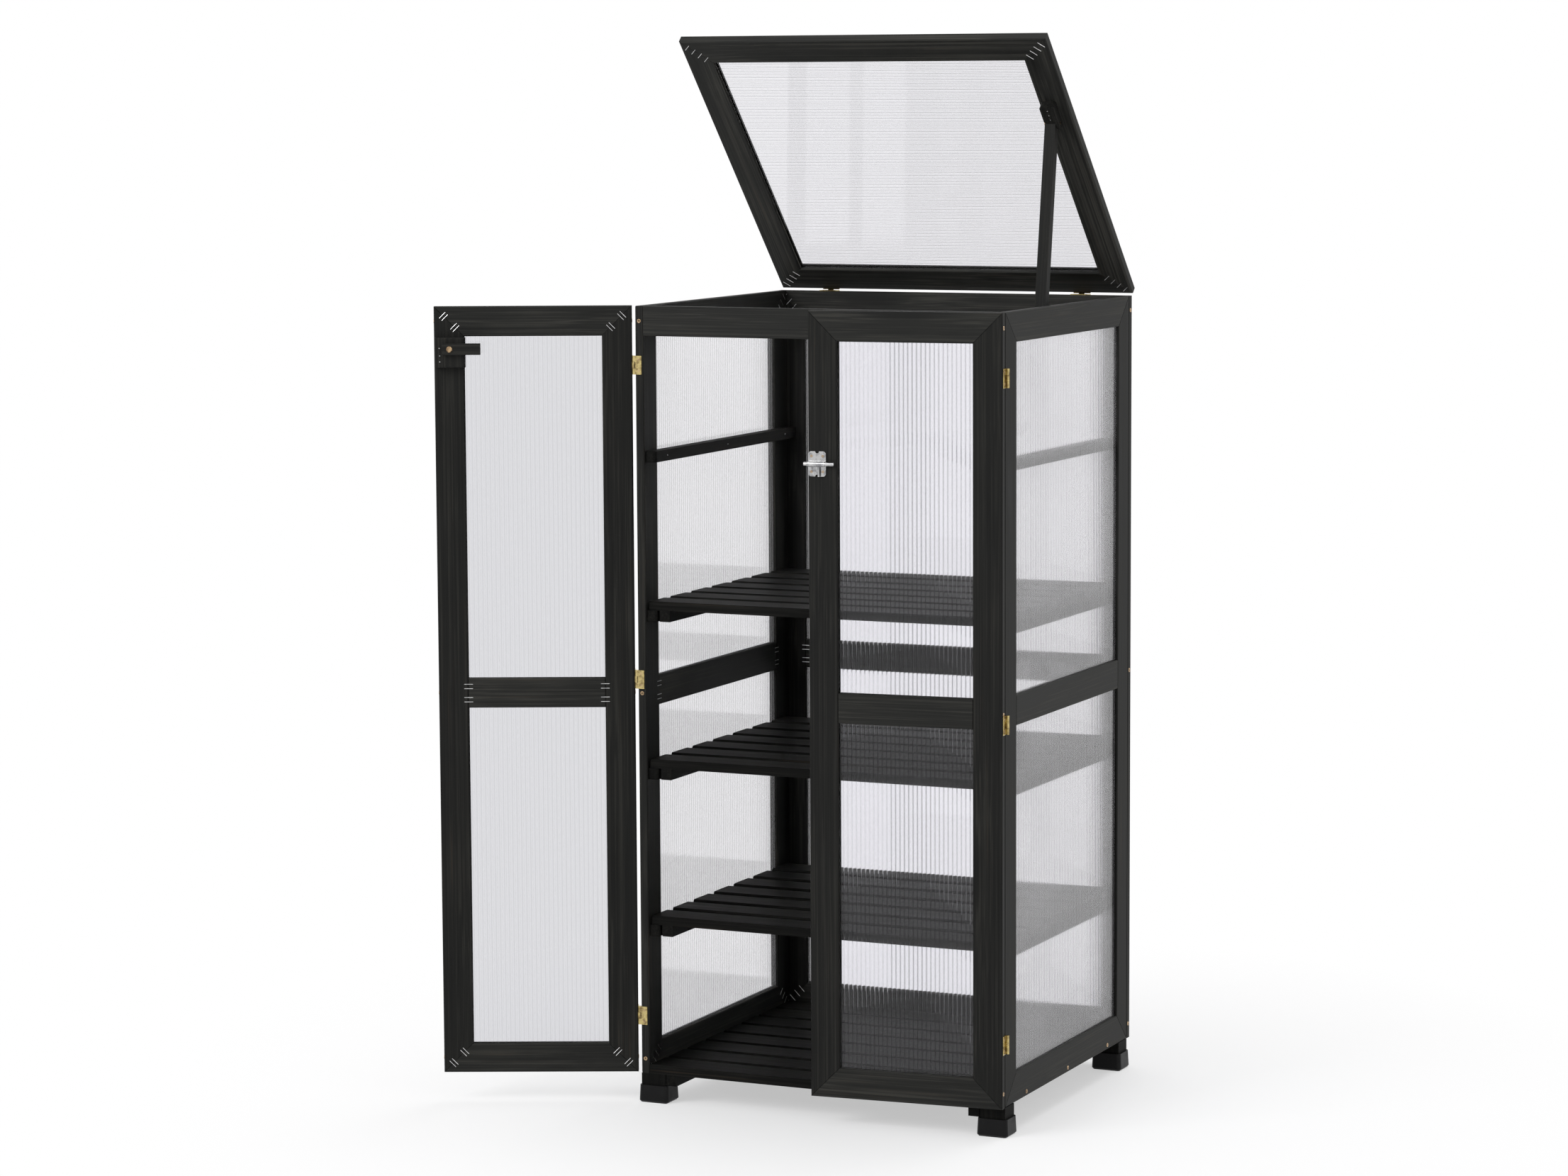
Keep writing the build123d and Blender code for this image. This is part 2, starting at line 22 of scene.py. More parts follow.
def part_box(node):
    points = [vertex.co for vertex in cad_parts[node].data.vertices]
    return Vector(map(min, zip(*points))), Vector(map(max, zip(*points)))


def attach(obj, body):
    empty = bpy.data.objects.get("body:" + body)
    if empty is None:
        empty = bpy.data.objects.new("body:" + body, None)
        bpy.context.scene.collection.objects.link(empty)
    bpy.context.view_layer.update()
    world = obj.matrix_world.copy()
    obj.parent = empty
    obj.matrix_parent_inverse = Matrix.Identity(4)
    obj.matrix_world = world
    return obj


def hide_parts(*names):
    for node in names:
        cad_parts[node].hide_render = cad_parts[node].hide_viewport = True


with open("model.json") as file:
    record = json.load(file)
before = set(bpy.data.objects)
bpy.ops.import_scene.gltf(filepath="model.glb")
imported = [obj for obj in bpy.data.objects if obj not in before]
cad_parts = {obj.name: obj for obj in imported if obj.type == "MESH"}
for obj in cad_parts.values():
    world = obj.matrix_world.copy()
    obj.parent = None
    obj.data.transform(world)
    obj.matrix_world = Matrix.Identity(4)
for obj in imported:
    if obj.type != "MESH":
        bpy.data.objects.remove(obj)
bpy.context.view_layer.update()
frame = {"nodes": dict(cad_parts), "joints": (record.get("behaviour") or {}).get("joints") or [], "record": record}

logging.basicConfig(level=logging.INFO, format="%(message)s")
log = logging.getLogger("greenhouse")

Triple = tuple[float, float, float]
Range = tuple[float, float]
Shares = tuple[float, ...]
Rules = tuple[tuple[str, Enum], ...]
Material = bpy.types.Material
Node = bpy.types.Node
Socket = bpy.types.NodeSocket

MM = 0.001
FLUTE_PITCH = 6.0 * MM
PHOTO_WIDTH_PX = 2212
FOCAL_PX = 6211.5
WHITE: Triple = (1.0, 1.0, 1.0)
RIGHT, BACK, UP = Vector((1, 0, 0)), Vector((0, 1, 0)), Vector((0, 0, 1))


class Grain(Enum):
    """The directions in which boards and sheets run."""

    UPRIGHT = "upright"
    ACROSS = "across"
    DEPTH = "depth"
    LEFT_DOOR = "left_door"
    RIGHT_DOOR = "right_door"
    LID_SLOPE = "lid_slope"
    PROP = "prop"


class PaintedLight(Enum):
    """Painted light and shade on the boards: a factor on the stain's colours, and the boards' gloss."""

    # The rails are painted lighter, as if lit from above. The slats, battens, cleats and legs are painted darker,
    # as painted shade.
    RAIL = (1.5, 0.16)
    STILE = (0.9, 0.14)
    SLAT = (0.45, 0.06)

    def __init__(self, strength: float, gloss: float) -> None:
        """Keep the factor and the specular level."""
        self.strength, self.gloss = strength, gloss


class Fixing(Enum):
    """The small fixings on the boards: what they are called, their finish and their material slot."""

    SCREW = ("screws", "screw_brass", "screw_brass")
    SMALL_SCREW = ("small_screws", "screw_brass", "screw_brass")
    STAPLE = ("staples", "staple_wire", "bright_zinc")
    NAIL = ("nails", "bright_zinc", "bright_zinc")

    def __init__(self, title: str, finish: str, slot: str) -> None:
        """Keep the three names."""
        self.title, self.finish, self.slot = title, finish, slot


# Joints and nodes of the frame


def joint_named(name: str) -> dict:
    """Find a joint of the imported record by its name."""
    return next(joint for joint in frame["joints"] if joint["name"] == name)


def pin_of(name: str) -> Vector:
    """A point on the axis of a joint."""
    return Vector(joint_named(name)["pos_m"])


def opening_angle(name: str) -> float:
    """Degrees from closed, which is a joint's lower limit, to the rest pose."""
    return -joint_named(name)["range_deg"][0]


def opening_turn(name: str) -> Matrix:
    """The move that takes a closed door or lid to its rest pose.

    Args:
        name: The name of its hinge joint.

    Returns:
        A rotation about the hinge pin.
    """
    pin, axis = pin_of(name), Vector(joint_named(name)["axis"])
    turn = Matrix.Rotation(math.radians(opening_angle(name)), 4, axis)
    return Matrix.Translation(pin) @ turn @ Matrix.Translation(-pin)


def tilt(run: Grain) -> Triple:
    """The turn, as Euler angles, that takes X to a direction in which a piece runs.

    Args:
        run: The direction.

    Returns:
        The three angles.
    """
    lid = opening_angle("lid_hinge")
    fold = opening_angle("lid_prop_pivot")
    pitch, yaw = {
        Grain.UPRIGHT: (-90.0, 0.0),
        Grain.ACROSS: (0.0, 0.0),
        Grain.DEPTH: (0.0, 90.0),
        Grain.LEFT_DOOR: (0.0, -opening_angle("left_door_hinge")),
        Grain.RIGHT_DOOR: (0.0, opening_angle("right_door_hinge")),
        Grain.LID_SLOPE: (lid, 90.0),
        Grain.PROP: (lid + fold, 90.0),
    }[run]
    return (0.0, math.radians(pitch), math.radians(yaw))


def middle_of(node: str) -> Vector:
    """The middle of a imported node's box."""
    low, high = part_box(node)
    return (low + high) / 2


# Node helpers


@dataclass
class NodeBench:
    """A node tree with short calls to add and join nodes."""

    tree: bpy.types.NodeTree

    def add(self, kind: str, values: dict[str | int, object] | None = None, **settings: object) -> Node:
        """Add a node.

        Args:
            kind: Blender's name of the node type.
            values: What its inputs get.
            settings: Properties to set on it.

        Returns:
            The new node.
        """
        node = self.tree.nodes.new(kind)
        for name, value in settings.items():
            setattr(node, name, value)
        self.feed(node, values or {})
        return node

    def join(self, source: Socket, target: Socket) -> None:
        """Link an output to an input."""
        self.tree.links.new(source, target)

    def feed(self, node: Node, values: dict[str | int, object]) -> None:
        """Link or set a node's inputs.

        Args:
            node: The node.
            values: For each input, a socket, a number, a vector, or a colour without its alpha.
        """
        for key, value in values.items():
            target = node.inputs[key]
            if isinstance(value, bpy.types.NodeSocket):
                self.join(value, target)
            elif target.type == "RGBA":
                target.default_value = (*value, 1.0)
            else:
                target.default_value = value

    def maths(self, operation: str, first: object, second: object = 0.0, clamp: bool = False) -> Socket:
        """The result of a Math node, which a clamp keeps between 0 and 1."""
        node = self.add("ShaderNodeMath", {0: first, 1: second}, operation=operation, use_clamp=clamp)
        return node.outputs[0]

    def times(self, first: object, second: object) -> Socket:
        """The product of two values."""
        return self.maths("MULTIPLY", first, second)

    def noise(self, vector: Socket, scale: float = 1.0, detail: float = 3.0, rough: float = 0.55) -> Socket:
        """The value of a noise texture, with its cells in a unit of the vector as its scale."""
        values = {"Vector": vector, "Scale": scale, "Detail": detail, "Roughness": rough}
        return self.add("ShaderNodeTexNoise", values).outputs["Fac"]

    def remap(self, value: object, source: Range, target: Range = (0.0, 1.0)) -> Socket:
        """A value carried from one range to another, clamped."""
        names = ("Value", "From Min", "From Max", "To Min", "To Max")
        return self.add("ShaderNodeMapRange", dict(zip(names, (value, *source, *target)))).outputs["Result"]

    def blend(self, share: object, first: object, second: object) -> Socket:
        """A colour between two colours, by the Mix node's colour sockets."""
        node = self.add("ShaderNodeMix", {0: share, 6: first, 7: second}, data_type="RGBA")
        return node.outputs[2]

    def stretched(self, vector: Socket, scale: Triple) -> Socket:
        """A vector with its three parts scaled."""
        return self.add("ShaderNodeMapping", {"Vector": vector, "Scale": scale}).outputs["Vector"]

    def ramp(self, value: object, stops: Iterable[tuple[float, Triple]]) -> Socket:
        """A colour ramp of three stops.

        Args:
            value: What drives it.
            stops: Positions and colours.

        Returns:
            The colour.
        """
        node = self.add("ShaderNodeValToRGB", {"Fac": value})
        node.color_ramp.elements.new(0.5)
        for element, (position, colour) in zip(node.color_ramp.elements, stops):
            element.position = position
            element.color = (*colour, 1.0)
        return node.outputs["Color"]


def group_bench(name: str, inputs: dict[str, str], outputs: Iterable[str]) -> tuple[NodeBench, Node, Node]:
    """Start a node group.

    Args:
        name: The group's name.
        inputs: Socket names and types.
        outputs: Names of sockets that put out values.

    Returns:
        A bench on its tree, its input node and its output node.
    """
    tree = bpy.data.node_groups.new(name, "ShaderNodeTree")
    for socket_name, kind in inputs.items():
        tree.interface.new_socket(socket_name, in_out="INPUT", socket_type=kind)
    for socket_name in outputs:
        tree.interface.new_socket(socket_name, in_out="OUTPUT", socket_type="NodeSocketFloat")
    bench = NodeBench(tree)
    return bench, bench.add("NodeGroupInput"), bench.add("NodeGroupOutput")


@dataclass(frozen=True)
class StainedGrain:
    """Grain of stained softwood, on a vector whose X runs along the board.

    Each pattern has its cells in a metre, along and across the board, and its share in the stain's depth.
    A band is the stretch of a pattern in which a mask goes from nothing to all.
    """

    coarse_detail: float = 2.0
    waver_cells: Triple = (3.0, 22.0, 22.0)
    waver_share: float = 0.35
    knot_cells: Triple = (3.1, 15.0, 15.0)
    knot_band: Range = (0.4, 0.27)
    knot_share: float = 0.45
    ring_cells: Triple = (2.4, 400.0, 400.0)
    ring_band: Range = (0.33, 0.68)
    ring_share: float = 0.36
    ring_waver: float = 0.35
    round_knot_band: Range = (0.75, 0.3)
    rings_round_knot: float = 2.2
    fibre_cells: Triple = (22.0, 1100.0, 1100.0)
    fibre_roughness: float = 0.6
    fibre_share: float = 0.3
    fibre_height: float = 0.5
    blotch_cells: Triple = (4.0, 18.0, 18.0)
    blotch_band: Range = (0.46, 0.66)
    blotch_share: float = 0.56
    streak_cells: Triple = (4.0, 300.0, 300.0)
    streak_band: Range = (0.6, 0.76)

    def group(self) -> bpy.types.NodeTree:
        """Make the node group.

        Returns:
            The group. It puts out the stain's depth, a mask of thin brown streaks, and a height.
        """
        inputs = {"Vector": "NodeSocketVector", "Knots": "NodeSocketFloat"}
        bench, given, result = group_bench("stained_grain", inputs, ("Depth", "Streaks", "Height"))
        along = given.outputs["Vector"]
        waver = bench.noise(bench.stretched(along, self.waver_cells), detail=self.coarse_detail)
        knot_place = {"Vector": bench.stretched(along, self.knot_cells), "Scale": 1.0}
        cells = bench.add("ShaderNodeTexVoronoi", knot_place, feature="F1")
        reach = bench.maths("ADD", cells.outputs["Distance"], bench.times(waver, self.waver_share))
        knots = bench.times(bench.remap(reach, self.knot_band), given.outputs["Knots"])
        around = bench.times(bench.remap(reach, self.round_knot_band), self.rings_round_knot)

        ring_values = {"Vector": bench.stretched(along, self.ring_cells), "W": around, "Scale": 1.0}
        ring_values |= {"Detail": self.coarse_detail, "Distortion": self.ring_waver}
        rings = bench.add("ShaderNodeTexNoise", ring_values, noise_dimensions="4D")
        fibres = bench.noise(bench.stretched(along, self.fibre_cells), rough=self.fibre_roughness)
        blotches = bench.noise(bench.stretched(along, self.blotch_cells))
        lined = bench.times(bench.remap(rings.outputs["Fac"], self.ring_band), self.ring_share)
        fibred = bench.times(fibres, self.fibre_share)
        cloudy = bench.times(blotches, self.blotch_share)
        depth = bench.maths("ADD", bench.maths("ADD", lined, fibred), cloudy)
        thin = bench.noise(bench.stretched(along, self.streak_cells), detail=self.coarse_detail)
        patches = bench.remap(blotches, self.blotch_band)
        put_out = {
            "Depth": bench.maths("SUBTRACT", depth, bench.times(knots, self.knot_share), clamp=True),
            "Streaks": bench.times(bench.remap(thin, self.streak_band), patches),
            "Height": bench.maths("ADD", bench.times(fibres, self.fibre_height), lined),
        }
        bench.feed(result, put_out)
        return bench.tree


@dataclass(frozen=True)
class Tarnish:
    """Uneven plating: clouds of tarnish and fine rubbed marks."""

    cloud_detail: float = 4.0
    cloud_band: Range = (0.42, 0.68)
    mark_cells: Triple = (500.0, 500.0, 2600.0)
    mark_band: Range = (0.3, 0.7)
    rubbed: Range = (-0.06, 0.1)

    def group(self) -> bpy.types.NodeTree:
        """Make the node group.

        Returns:
            The group. It puts out a tarnish mask, a roughness offset and a height.
        """
        inputs = {"Vector": "NodeSocketVector", "Cloud Scale": "NodeSocketFloat"}
        bench, given, result = group_bench("tarnish", inputs, ("Tarnish", "Rubbed", "Height"))
        place = given.outputs["Vector"]
        cloud_values = {"Vector": place, "Scale": given.outputs["Cloud Scale"], "Detail": self.cloud_detail}
        clouds = bench.add("ShaderNodeTexNoise", cloud_values).outputs["Fac"]
        marks = bench.noise(bench.stretched(place, self.mark_cells))
        put_out = {
            "Tarnish": bench.remap(clouds, self.cloud_band),
            "Rubbed": bench.remap(marks, self.mark_band, self.rubbed),
            "Height": marks,
        }
        bench.feed(result, put_out)
        return bench.tree


GROUPS = {"stained_grain": StainedGrain().group(), "tarnish": Tarnish().group()}


@dataclass
class MaterialBench(NodeBench):
    """A new material's node tree, with its Principled shader and its output."""

    material: Material
    shader: Node
    output: Node

    @classmethod
    def start(cls, name: str) -> "MaterialBench":
        """Make a material that holds only a Principled shader and an output.

        Args:
            name: The material's name.

        Returns:
            A bench on it.
        """
        material = bpy.data.materials.new(name)
        material.use_nodes = True
        nodes = material.node_tree.nodes
        nodes.clear()
        shader = nodes.new("ShaderNodeBsdfPrincipled")
        output = nodes.new("ShaderNodeOutputMaterial")
        bench = cls(material.node_tree, material, shader, output)
        bench.join(shader.outputs["BSDF"], output.inputs["Surface"])
        return bench

    def put(self, **values: object) -> None:
        """Link or set the Principled shader's inputs; underscores stand for spaces."""
        self.feed(self.shader, {name.replace("_", " "): value for name, value in values.items()})

    def place(self) -> Socket:
        """Object coordinates, which are the frame's own metres."""
        return self.add("ShaderNodeTexCoord").outputs["Object"]

    def lined_up(self, run: Grain) -> Socket:
        """Object coordinates turned so that X is the direction in which a piece runs."""
        values = {"Vector": self.place(), "Rotation": tilt(run)}
        return self.add("ShaderNodeMapping", values, vector_type="TEXTURE").outputs["Vector"]

    def effect(self, name: str, values: dict[str | int, object]) -> Node:
        """A shared group, placed with its own values."""
        return self.add("ShaderNodeGroup", values, node_tree=GROUPS[name])

    def bump(self, height: Socket, strength: float, distance: float) -> None:
        """Raise the surface, by the distance where the height is 1."""
        node = self.add("ShaderNodeBump", {"Strength": strength, "Distance": distance, "Height": height})
        self.join(node.outputs["Normal"], self.shader.inputs["Normal"])

    def mix_in(self, share: Socket, other: Socket) -> None:
        """Let another shader take a share of the Principled shader's place."""
        mix = self.add("ShaderNodeMixShader", {0: share, 1: self.shader.outputs["BSDF"], 2: other})
        self.join(mix.outputs["Shader"], self.output.inputs["Surface"])


# Finishes


def shaded(colour: Triple, factor: float) -> Triple:
    """A colour times a factor."""
    return tuple(part * factor for part in colour)


@dataclass(frozen=True)
class StainedWood:
    """Black-stained planed softwood with its grain along one direction."""

    grain: Grain
    stain: PaintedLight
    tones: tuple[Triple, ...] = (
        (0.0030, 0.0031, 0.0028),
        (0.0085, 0.0086, 0.0077),
        (0.0250, 0.0243, 0.0212),
    )
    stops: Triple = (0.3, 0.6, 0.88)
    worn: Triple = (0.0450, 0.0320, 0.0210)
    streak_share: float = 0.5
    knots: float = 0.7
    rough_band: Range = (0.2, 0.9)
    roughness: Range = (0.5, 0.68)
    relief: float = 0.2 * MM
    relief_strength: float = 0.4

    def material(self) -> Material:
        """Make the material.

        Returns:
            The material.
        """
        bench = MaterialBench.start(f"stained_{self.stain.name.lower()}_{self.grain.value}")
        along = bench.lined_up(self.grain)
        wood = bench.effect("stained_grain", {"Vector": along, "Knots": self.knots}).outputs
        # The stain's tones are scaled by painted light: lighter on the rails, and darker as painted shade on the
        # slats, battens, cleats and legs.
        tones = [shaded(tone, self.stain.strength) for tone in self.tones]
        stain = bench.ramp(wood["Depth"], zip(self.stops, tones))
        bench.put(
            Base_Color=bench.blend(bench.times(wood["Streaks"], self.streak_share), stain, self.worn),
            Roughness=bench.remap(wood["Depth"], self.rough_band, self.roughness),
            Specular_IOR_Level=self.stain.gloss,
        )
        bench.bump(wood["Height"], self.relief_strength, self.relief)
        return bench.material


@cache
def stained_wood(grain: Grain, stain: PaintedLight) -> Material:
    """A stained wood, made when it is first needed and then shared."""
    return StainedWood(grain, stain).material()


@dataclass(frozen=True)
class TwinWall:
    """Clear twin-wall sheet: each flute is a weak lens, and the webs between them show as fine lines.

    The web's shade is painted shade at the webs, a factor on the tint, and it fades over a share of the lens's
    height.
    The tint is partly painted shade: the one sheet material is made greyest on the open left door and darker on
    the right door and the lid. The swell is how far the lens rises. The veil is the share of a face that scatters
    light and lets none through, and the last field is the share of a lamp's light that a face lets through.
    """

    across: Grain
    tint_and_painted_shade: Triple
    web_shade: float = 0.88
    bend: float = 1.25
    pitch: float = FLUTE_PITCH
    swell: float = 0.03 * MM
    web_reach: float = 0.5
    veil: float = 0.0
    roughness: float = 0.03
    clear_to_light: float = 0.95

    def material(self) -> Material:
        """Make the material.

        Returns:
            The material.
        """
        bench = MaterialBench.start(f"twin_wall_{self.across.value}")
        sideways = bench.add("ShaderNodeSeparateXYZ", {"Vector": bench.lined_up(self.across)}).outputs["X"]
        share = bench.maths("FRACT", bench.maths("DIVIDE", sideways, self.pitch))
        # A parabola over each flute, 0 at its webs and 1 at its middle
        lens = bench.times(bench.times(share, bench.maths("SUBTRACT", 1.0, share)), 4.0)
        webs = bench.remap(lens, (0.0, self.web_reach), (1.0, 0.0))
        bench.put(
            Base_Color=bench.blend(webs, self.tint_and_painted_shade, shaded(self.tint_and_painted_shade, self.web_shade)),
            Roughness=self.roughness,
            IOR=self.bend,
            Transmission_Weight=1.0 - self.veil,
        )
        # The two faces of a thin wall would undo each other's bend, so the lens is turned over from inside
        inside = bench.add("ShaderNodeNewGeometry").outputs["Backfacing"]
        bench.bump(bench.times(lens, bench.remap(inside, (0.0, 1.0), (1.0, -1.0))), 1.0, self.swell)
        clear = bench.add("ShaderNodeBsdfTransparent", {"Color": shaded(WHITE, self.clear_to_light)})
        bench.mix_in(bench.add("ShaderNodeLightPath").outputs["Is Shadow Ray"], clear.outputs["BSDF"])
        return bench.material


@dataclass(frozen=True)
class PlatedMetal:
    """Plated steel with clouds of tarnish."""

    name: str
    bright: Triple
    dull: Triple
    roughness: float
    cloud_scale: float = 160.0
    relief: float = 0.1 * MM
    relief_strength: float = 0.12

    def material(self) -> Material:
        """Make the material.

        Returns:
            The material.
        """
        bench = MaterialBench.start(self.name)
        values = {"Vector": bench.place(), "Cloud Scale": self.cloud_scale}
        plating = bench.effect("tarnish", values).outputs
        bench.put(
            Base_Color=bench.blend(plating["Tarnish"], self.bright, self.dull),
            Metallic=1.0,
            Roughness=bench.maths("ADD", plating["Rubbed"], self.roughness),
        )
        bench.bump(plating["Height"], self.relief_strength, self.relief)
        return bench.material


@dataclass(frozen=True)
class FootPlastic:
    """Satin black moulded plastic with a fine texture and a few scuffs."""

    colour: Triple = (0.0040, 0.0040, 0.0042)
    scuffed: Triple = (0.0090, 0.0090, 0.0088)
    scuff_scale: float = 45.0
    scuff_detail: float = 4.0
    scuff_band: Range = (0.5, 0.75)
    roughness: Range = (0.36, 0.52)
    gloss: float = 0.14
    texture_scale: float = 1400.0
    texture_detail: float = 2.0
    relief: float = 0.12 * MM
    relief_strength: float = 0.2

    def material(self) -> Material:
        """Make the material.

        Returns:
            The material.
        """
        bench = MaterialBench.start("foot_plastic")
        place = bench.place()
        scuffs = bench.remap(bench.noise(place, self.scuff_scale, self.scuff_detail), self.scuff_band)
        bench.put(
            Base_Color=bench.blend(scuffs, self.colour, self.scuffed),
            Roughness=bench.remap(scuffs, (0.0, 1.0), self.roughness),
            Specular_IOR_Level=self.gloss,
        )
        texture = bench.noise(place, self.texture_scale, self.texture_detail)
        bench.bump(texture, self.relief_strength, self.relief)
        return bench.material


# The tints follow the photograph, where the open left door is greyer and the sides are a little veiled
# The tints are painted shade on one sheet material: greyest on the open left door, darker on the right door and
# the lid. The webs' painted shade is strongest on the lid.
SHEETS = (
    TwinWall(Grain.DEPTH, tint_and_painted_shade=(0.995, 0.993, 1.0), swell=0.04 * MM, veil=0.02),
    TwinWall(Grain.ACROSS, tint_and_painted_shade=(0.99, 0.988, 0.998)),
    TwinWall(Grain.LEFT_DOOR, tint_and_painted_shade=(0.84, 0.84, 0.855), web_shade=0.95),
    TwinWall(Grain.RIGHT_DOOR, tint_and_painted_shade=(0.935, 0.933, 0.95)),
    TwinWall(Grain.LID_SLOPE, tint_and_painted_shade=(0.965, 0.963, 0.975), web_shade=0.8, swell=0.02 * MM),
)
METALS = (
    PlatedMetal("yellow_zinc", bright=(0.53, 0.43, 0.19), dull=(0.19, 0.13, 0.06), roughness=0.2),
    PlatedMetal("bright_zinc", bright=(0.50, 0.50, 0.50), dull=(0.24, 0.24, 0.25), roughness=0.14),
    PlatedMetal("screw_brass", bright=(0.48, 0.34, 0.20), dull=(0.22, 0.14, 0.08), roughness=0.26),
    # The staples' wire is the nails' bright zinc painted lighter, as painted light that keeps the thin wire bright
    # from every side.
    PlatedMetal("staple_wire", bright=(0.78, 0.78, 0.78), dull=(0.50, 0.50, 0.51), roughness=0.34),
)


# Panels and the fixings on them


def set_at(where: Vector, x_axis: Vector, z_axis: Vector) -> Matrix:
    """The matrix that puts a piece at a point.

    Args:
        where: The point.
        x_axis: Roughly the direction of the piece's X.
        z_axis: The direction of the piece's Z.

    Returns:
        The matrix.
    """
    z_axis = z_axis.normalized()
    x_axis = (x_axis - z_axis * x_axis.dot(z_axis)).normalized()
    axes = Matrix((x_axis, z_axis.cross(x_axis), z_axis)).transposed()
    return Matrix.Translation(where) @ axes.to_4x4()


@dataclass
class Panel:
    """One mitred frame, described closed and turned to its rest pose.

    The origin is the lower left corner of its outer face, seen from outside. The staples lie at shares of a
    board's width from the outer corner of each mitre.
    """

    name: str
    body: str
    origin: Vector
    across: Vector
    up: Vector
    width: float
    height: float
    turn: Matrix = field(default_factory=lambda: Matrix.Identity(4))
    has_mid_rail: bool = True
    staple_shares: Shares = (0.22, 0.4, 0.58, 0.76)

    @property
    def normal(self) -> Vector:
        """The way out of the outer face."""
        return self.across.cross(self.up)

    def spot(self, x: float, y: float, out: float, x_axis: Vector, z_axis: Vector) -> Matrix:
        """A place on the panel.

        Args:
            x: Distance across from the origin.
            y: Distance up from the origin.
            out: Distance out of the outer face.
            x_axis: Direction of the placed piece's X, closed.
            z_axis: Direction of the placed piece's Z, closed.

        Returns:
            The matrix that puts a piece there at rest.
        """
        where = self.origin + self.across * x + self.up * y + self.normal * out
        return self.turn @ set_at(where, x_axis, z_axis)


def kept_mesh(bm: bmesh.types.BMesh, name: str) -> bpy.types.Mesh:
    """Turn a mesh in the making into a mesh with its faces outward.

    Args:
        bm: The mesh in the making, which is freed.
        name: The mesh's name.

    Returns:
        The mesh.
    """
    bmesh.ops.recalc_face_normals(bm, faces=bm.faces)
    mesh = bpy.data.meshes.new(name)
    bm.to_mesh(mesh)
    bm.free()
    return mesh


def stamp(bm: bmesh.types.BMesh, shape: bpy.types.Mesh, place: Matrix) -> None:
    """Add a copy of a shape to a mesh in the making.

    Args:
        bm: The mesh in the making.
        shape: The shape, at the origin.
        place: Where its copy goes.
    """
    earlier = len(bm.verts)
    bm.from_mesh(shape)
    bm.verts.ensure_lookup_table()
    bmesh.ops.transform(bm, matrix=place, verts=bm.verts[earlier:])


def add_cone(bm: bmesh.types.BMesh, sides: int, radii: Range, depth: float, place: Matrix) -> None:
    """Add a closed cone, which lies along Z before it is placed, to a mesh in the making."""
    sizes = {"segments": sides, "radius1": radii[0], "radius2": radii[1], "depth": depth}
    bmesh.ops.create_cone(bm, cap_ends=True, matrix=place, **sizes)


def new_piece(mesh: bpy.types.Mesh, material: Material, body: str, slot: str) -> bpy.types.Object:
    """Make a piece of the object that rides on a body.

    Args:
        mesh: Its mesh, in its place. The piece takes its name.
        material: Its material.
        body: The body that carries it.
        slot: The record's material slot. It is not used.

    Returns:
        The piece.
    """
    mesh.materials.append(material)
    piece = bpy.data.objects.new(mesh.name, mesh)
    bpy.context.scene.collection.objects.link(piece)
    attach(piece, body)
    return piece


@dataclass(frozen=True)
class Screw:
    """A countersunk cross-head screw, seen as a low head with a cross recess.

    The taper, rim, waist and lip are shares of the head's radius, and the recess is a share of its rise.
    """

    radius: float = 3.1 * MM
    rise: float = 0.5 * MM
    taper: float = 0.86
    rim: float = 0.3
    waist: float = 0.42
    lip: float = 0.05
    recess: float = 1.4
    sides: int = 16

    def mesh(self) -> bpy.types.Mesh:
        """Make one head at the origin, half sunk, with Z out of the surface.

        Returns:
            Its mesh.
        """
        bm = bmesh.new()
        add_cone(bm, self.sides, (self.radius, self.radius * self.taper), 2 * self.rise, Matrix.Identity(4))
        top = max(bm.faces, key=lambda face: face.calc_center_median().z)
        bmesh.ops.inset_region(bm, faces=[top], thickness=self.radius * self.rim)
        # Two corners of every four are drawn in, which leaves the four arms of the cross
        corners = sorted(top.verts, key=lambda vert: math.atan2(vert.co.y, vert.co.x))
        for index, vert in enumerate(corners):
            if index % 4 in (1, 2):
                vert.co.xy *= self.waist
        lip, recess = self.radius * self.lip, self.rise * self.recess
        bmesh.ops.inset_region(bm, faces=[top], thickness=lip, depth=-recess)
        return kept_mesh(bm, "screw")


@dataclass(frozen=True)
class Staple:
    """A wire staple: its crown lies along X and its legs go into the wood."""

    length: float = 11.5 * MM
    wire: float = 0.4 * MM
    leg: float = 1.6 * MM
    sides: int = 8

    def mesh(self) -> bpy.types.Mesh:
        """Make one staple at the origin, its crown half sunk, with Z out of the surface.

        Returns:
            Its mesh.
        """
        bm = bmesh.new()
        radii = (self.wire, self.wire)
        add_cone(bm, self.sides, radii, self.length, Matrix.Rotation(math.pi / 2, 4, "Y"))
        for end in (-self.length / 2, self.length / 2):
            add_cone(bm, self.sides, radii, self.leg, Matrix.Translation((end, 0.0, -self.leg / 2)))
        return kept_mesh(bm, "staple")


@dataclass(frozen=True)
class Nail:
    """A small flat nail head, whose taper is a share of its radius."""

    radius: float = 1.1 * MM
    rise: float = 0.35 * MM
    taper: float = 0.7
    sides: int = 10

    def mesh(self) -> bpy.types.Mesh:
        """Make one head at the origin, half sunk, with Z out of the surface.

        Returns:
            Its mesh.
        """
        bm = bmesh.new()
        add_cone(bm, self.sides, (self.radius, self.radius * self.taper), 2 * self.rise, Matrix.Identity(4))
        return kept_mesh(bm, "nail")


SHAPES = {
    Fixing.SCREW: Screw().mesh(),
    Fixing.SMALL_SCREW: Screw(radius=1.9 * MM, rise=0.35 * MM).mesh(),
    Fixing.STAPLE: Staple().mesh(),
    Fixing.NAIL: Nail().mesh(),
}


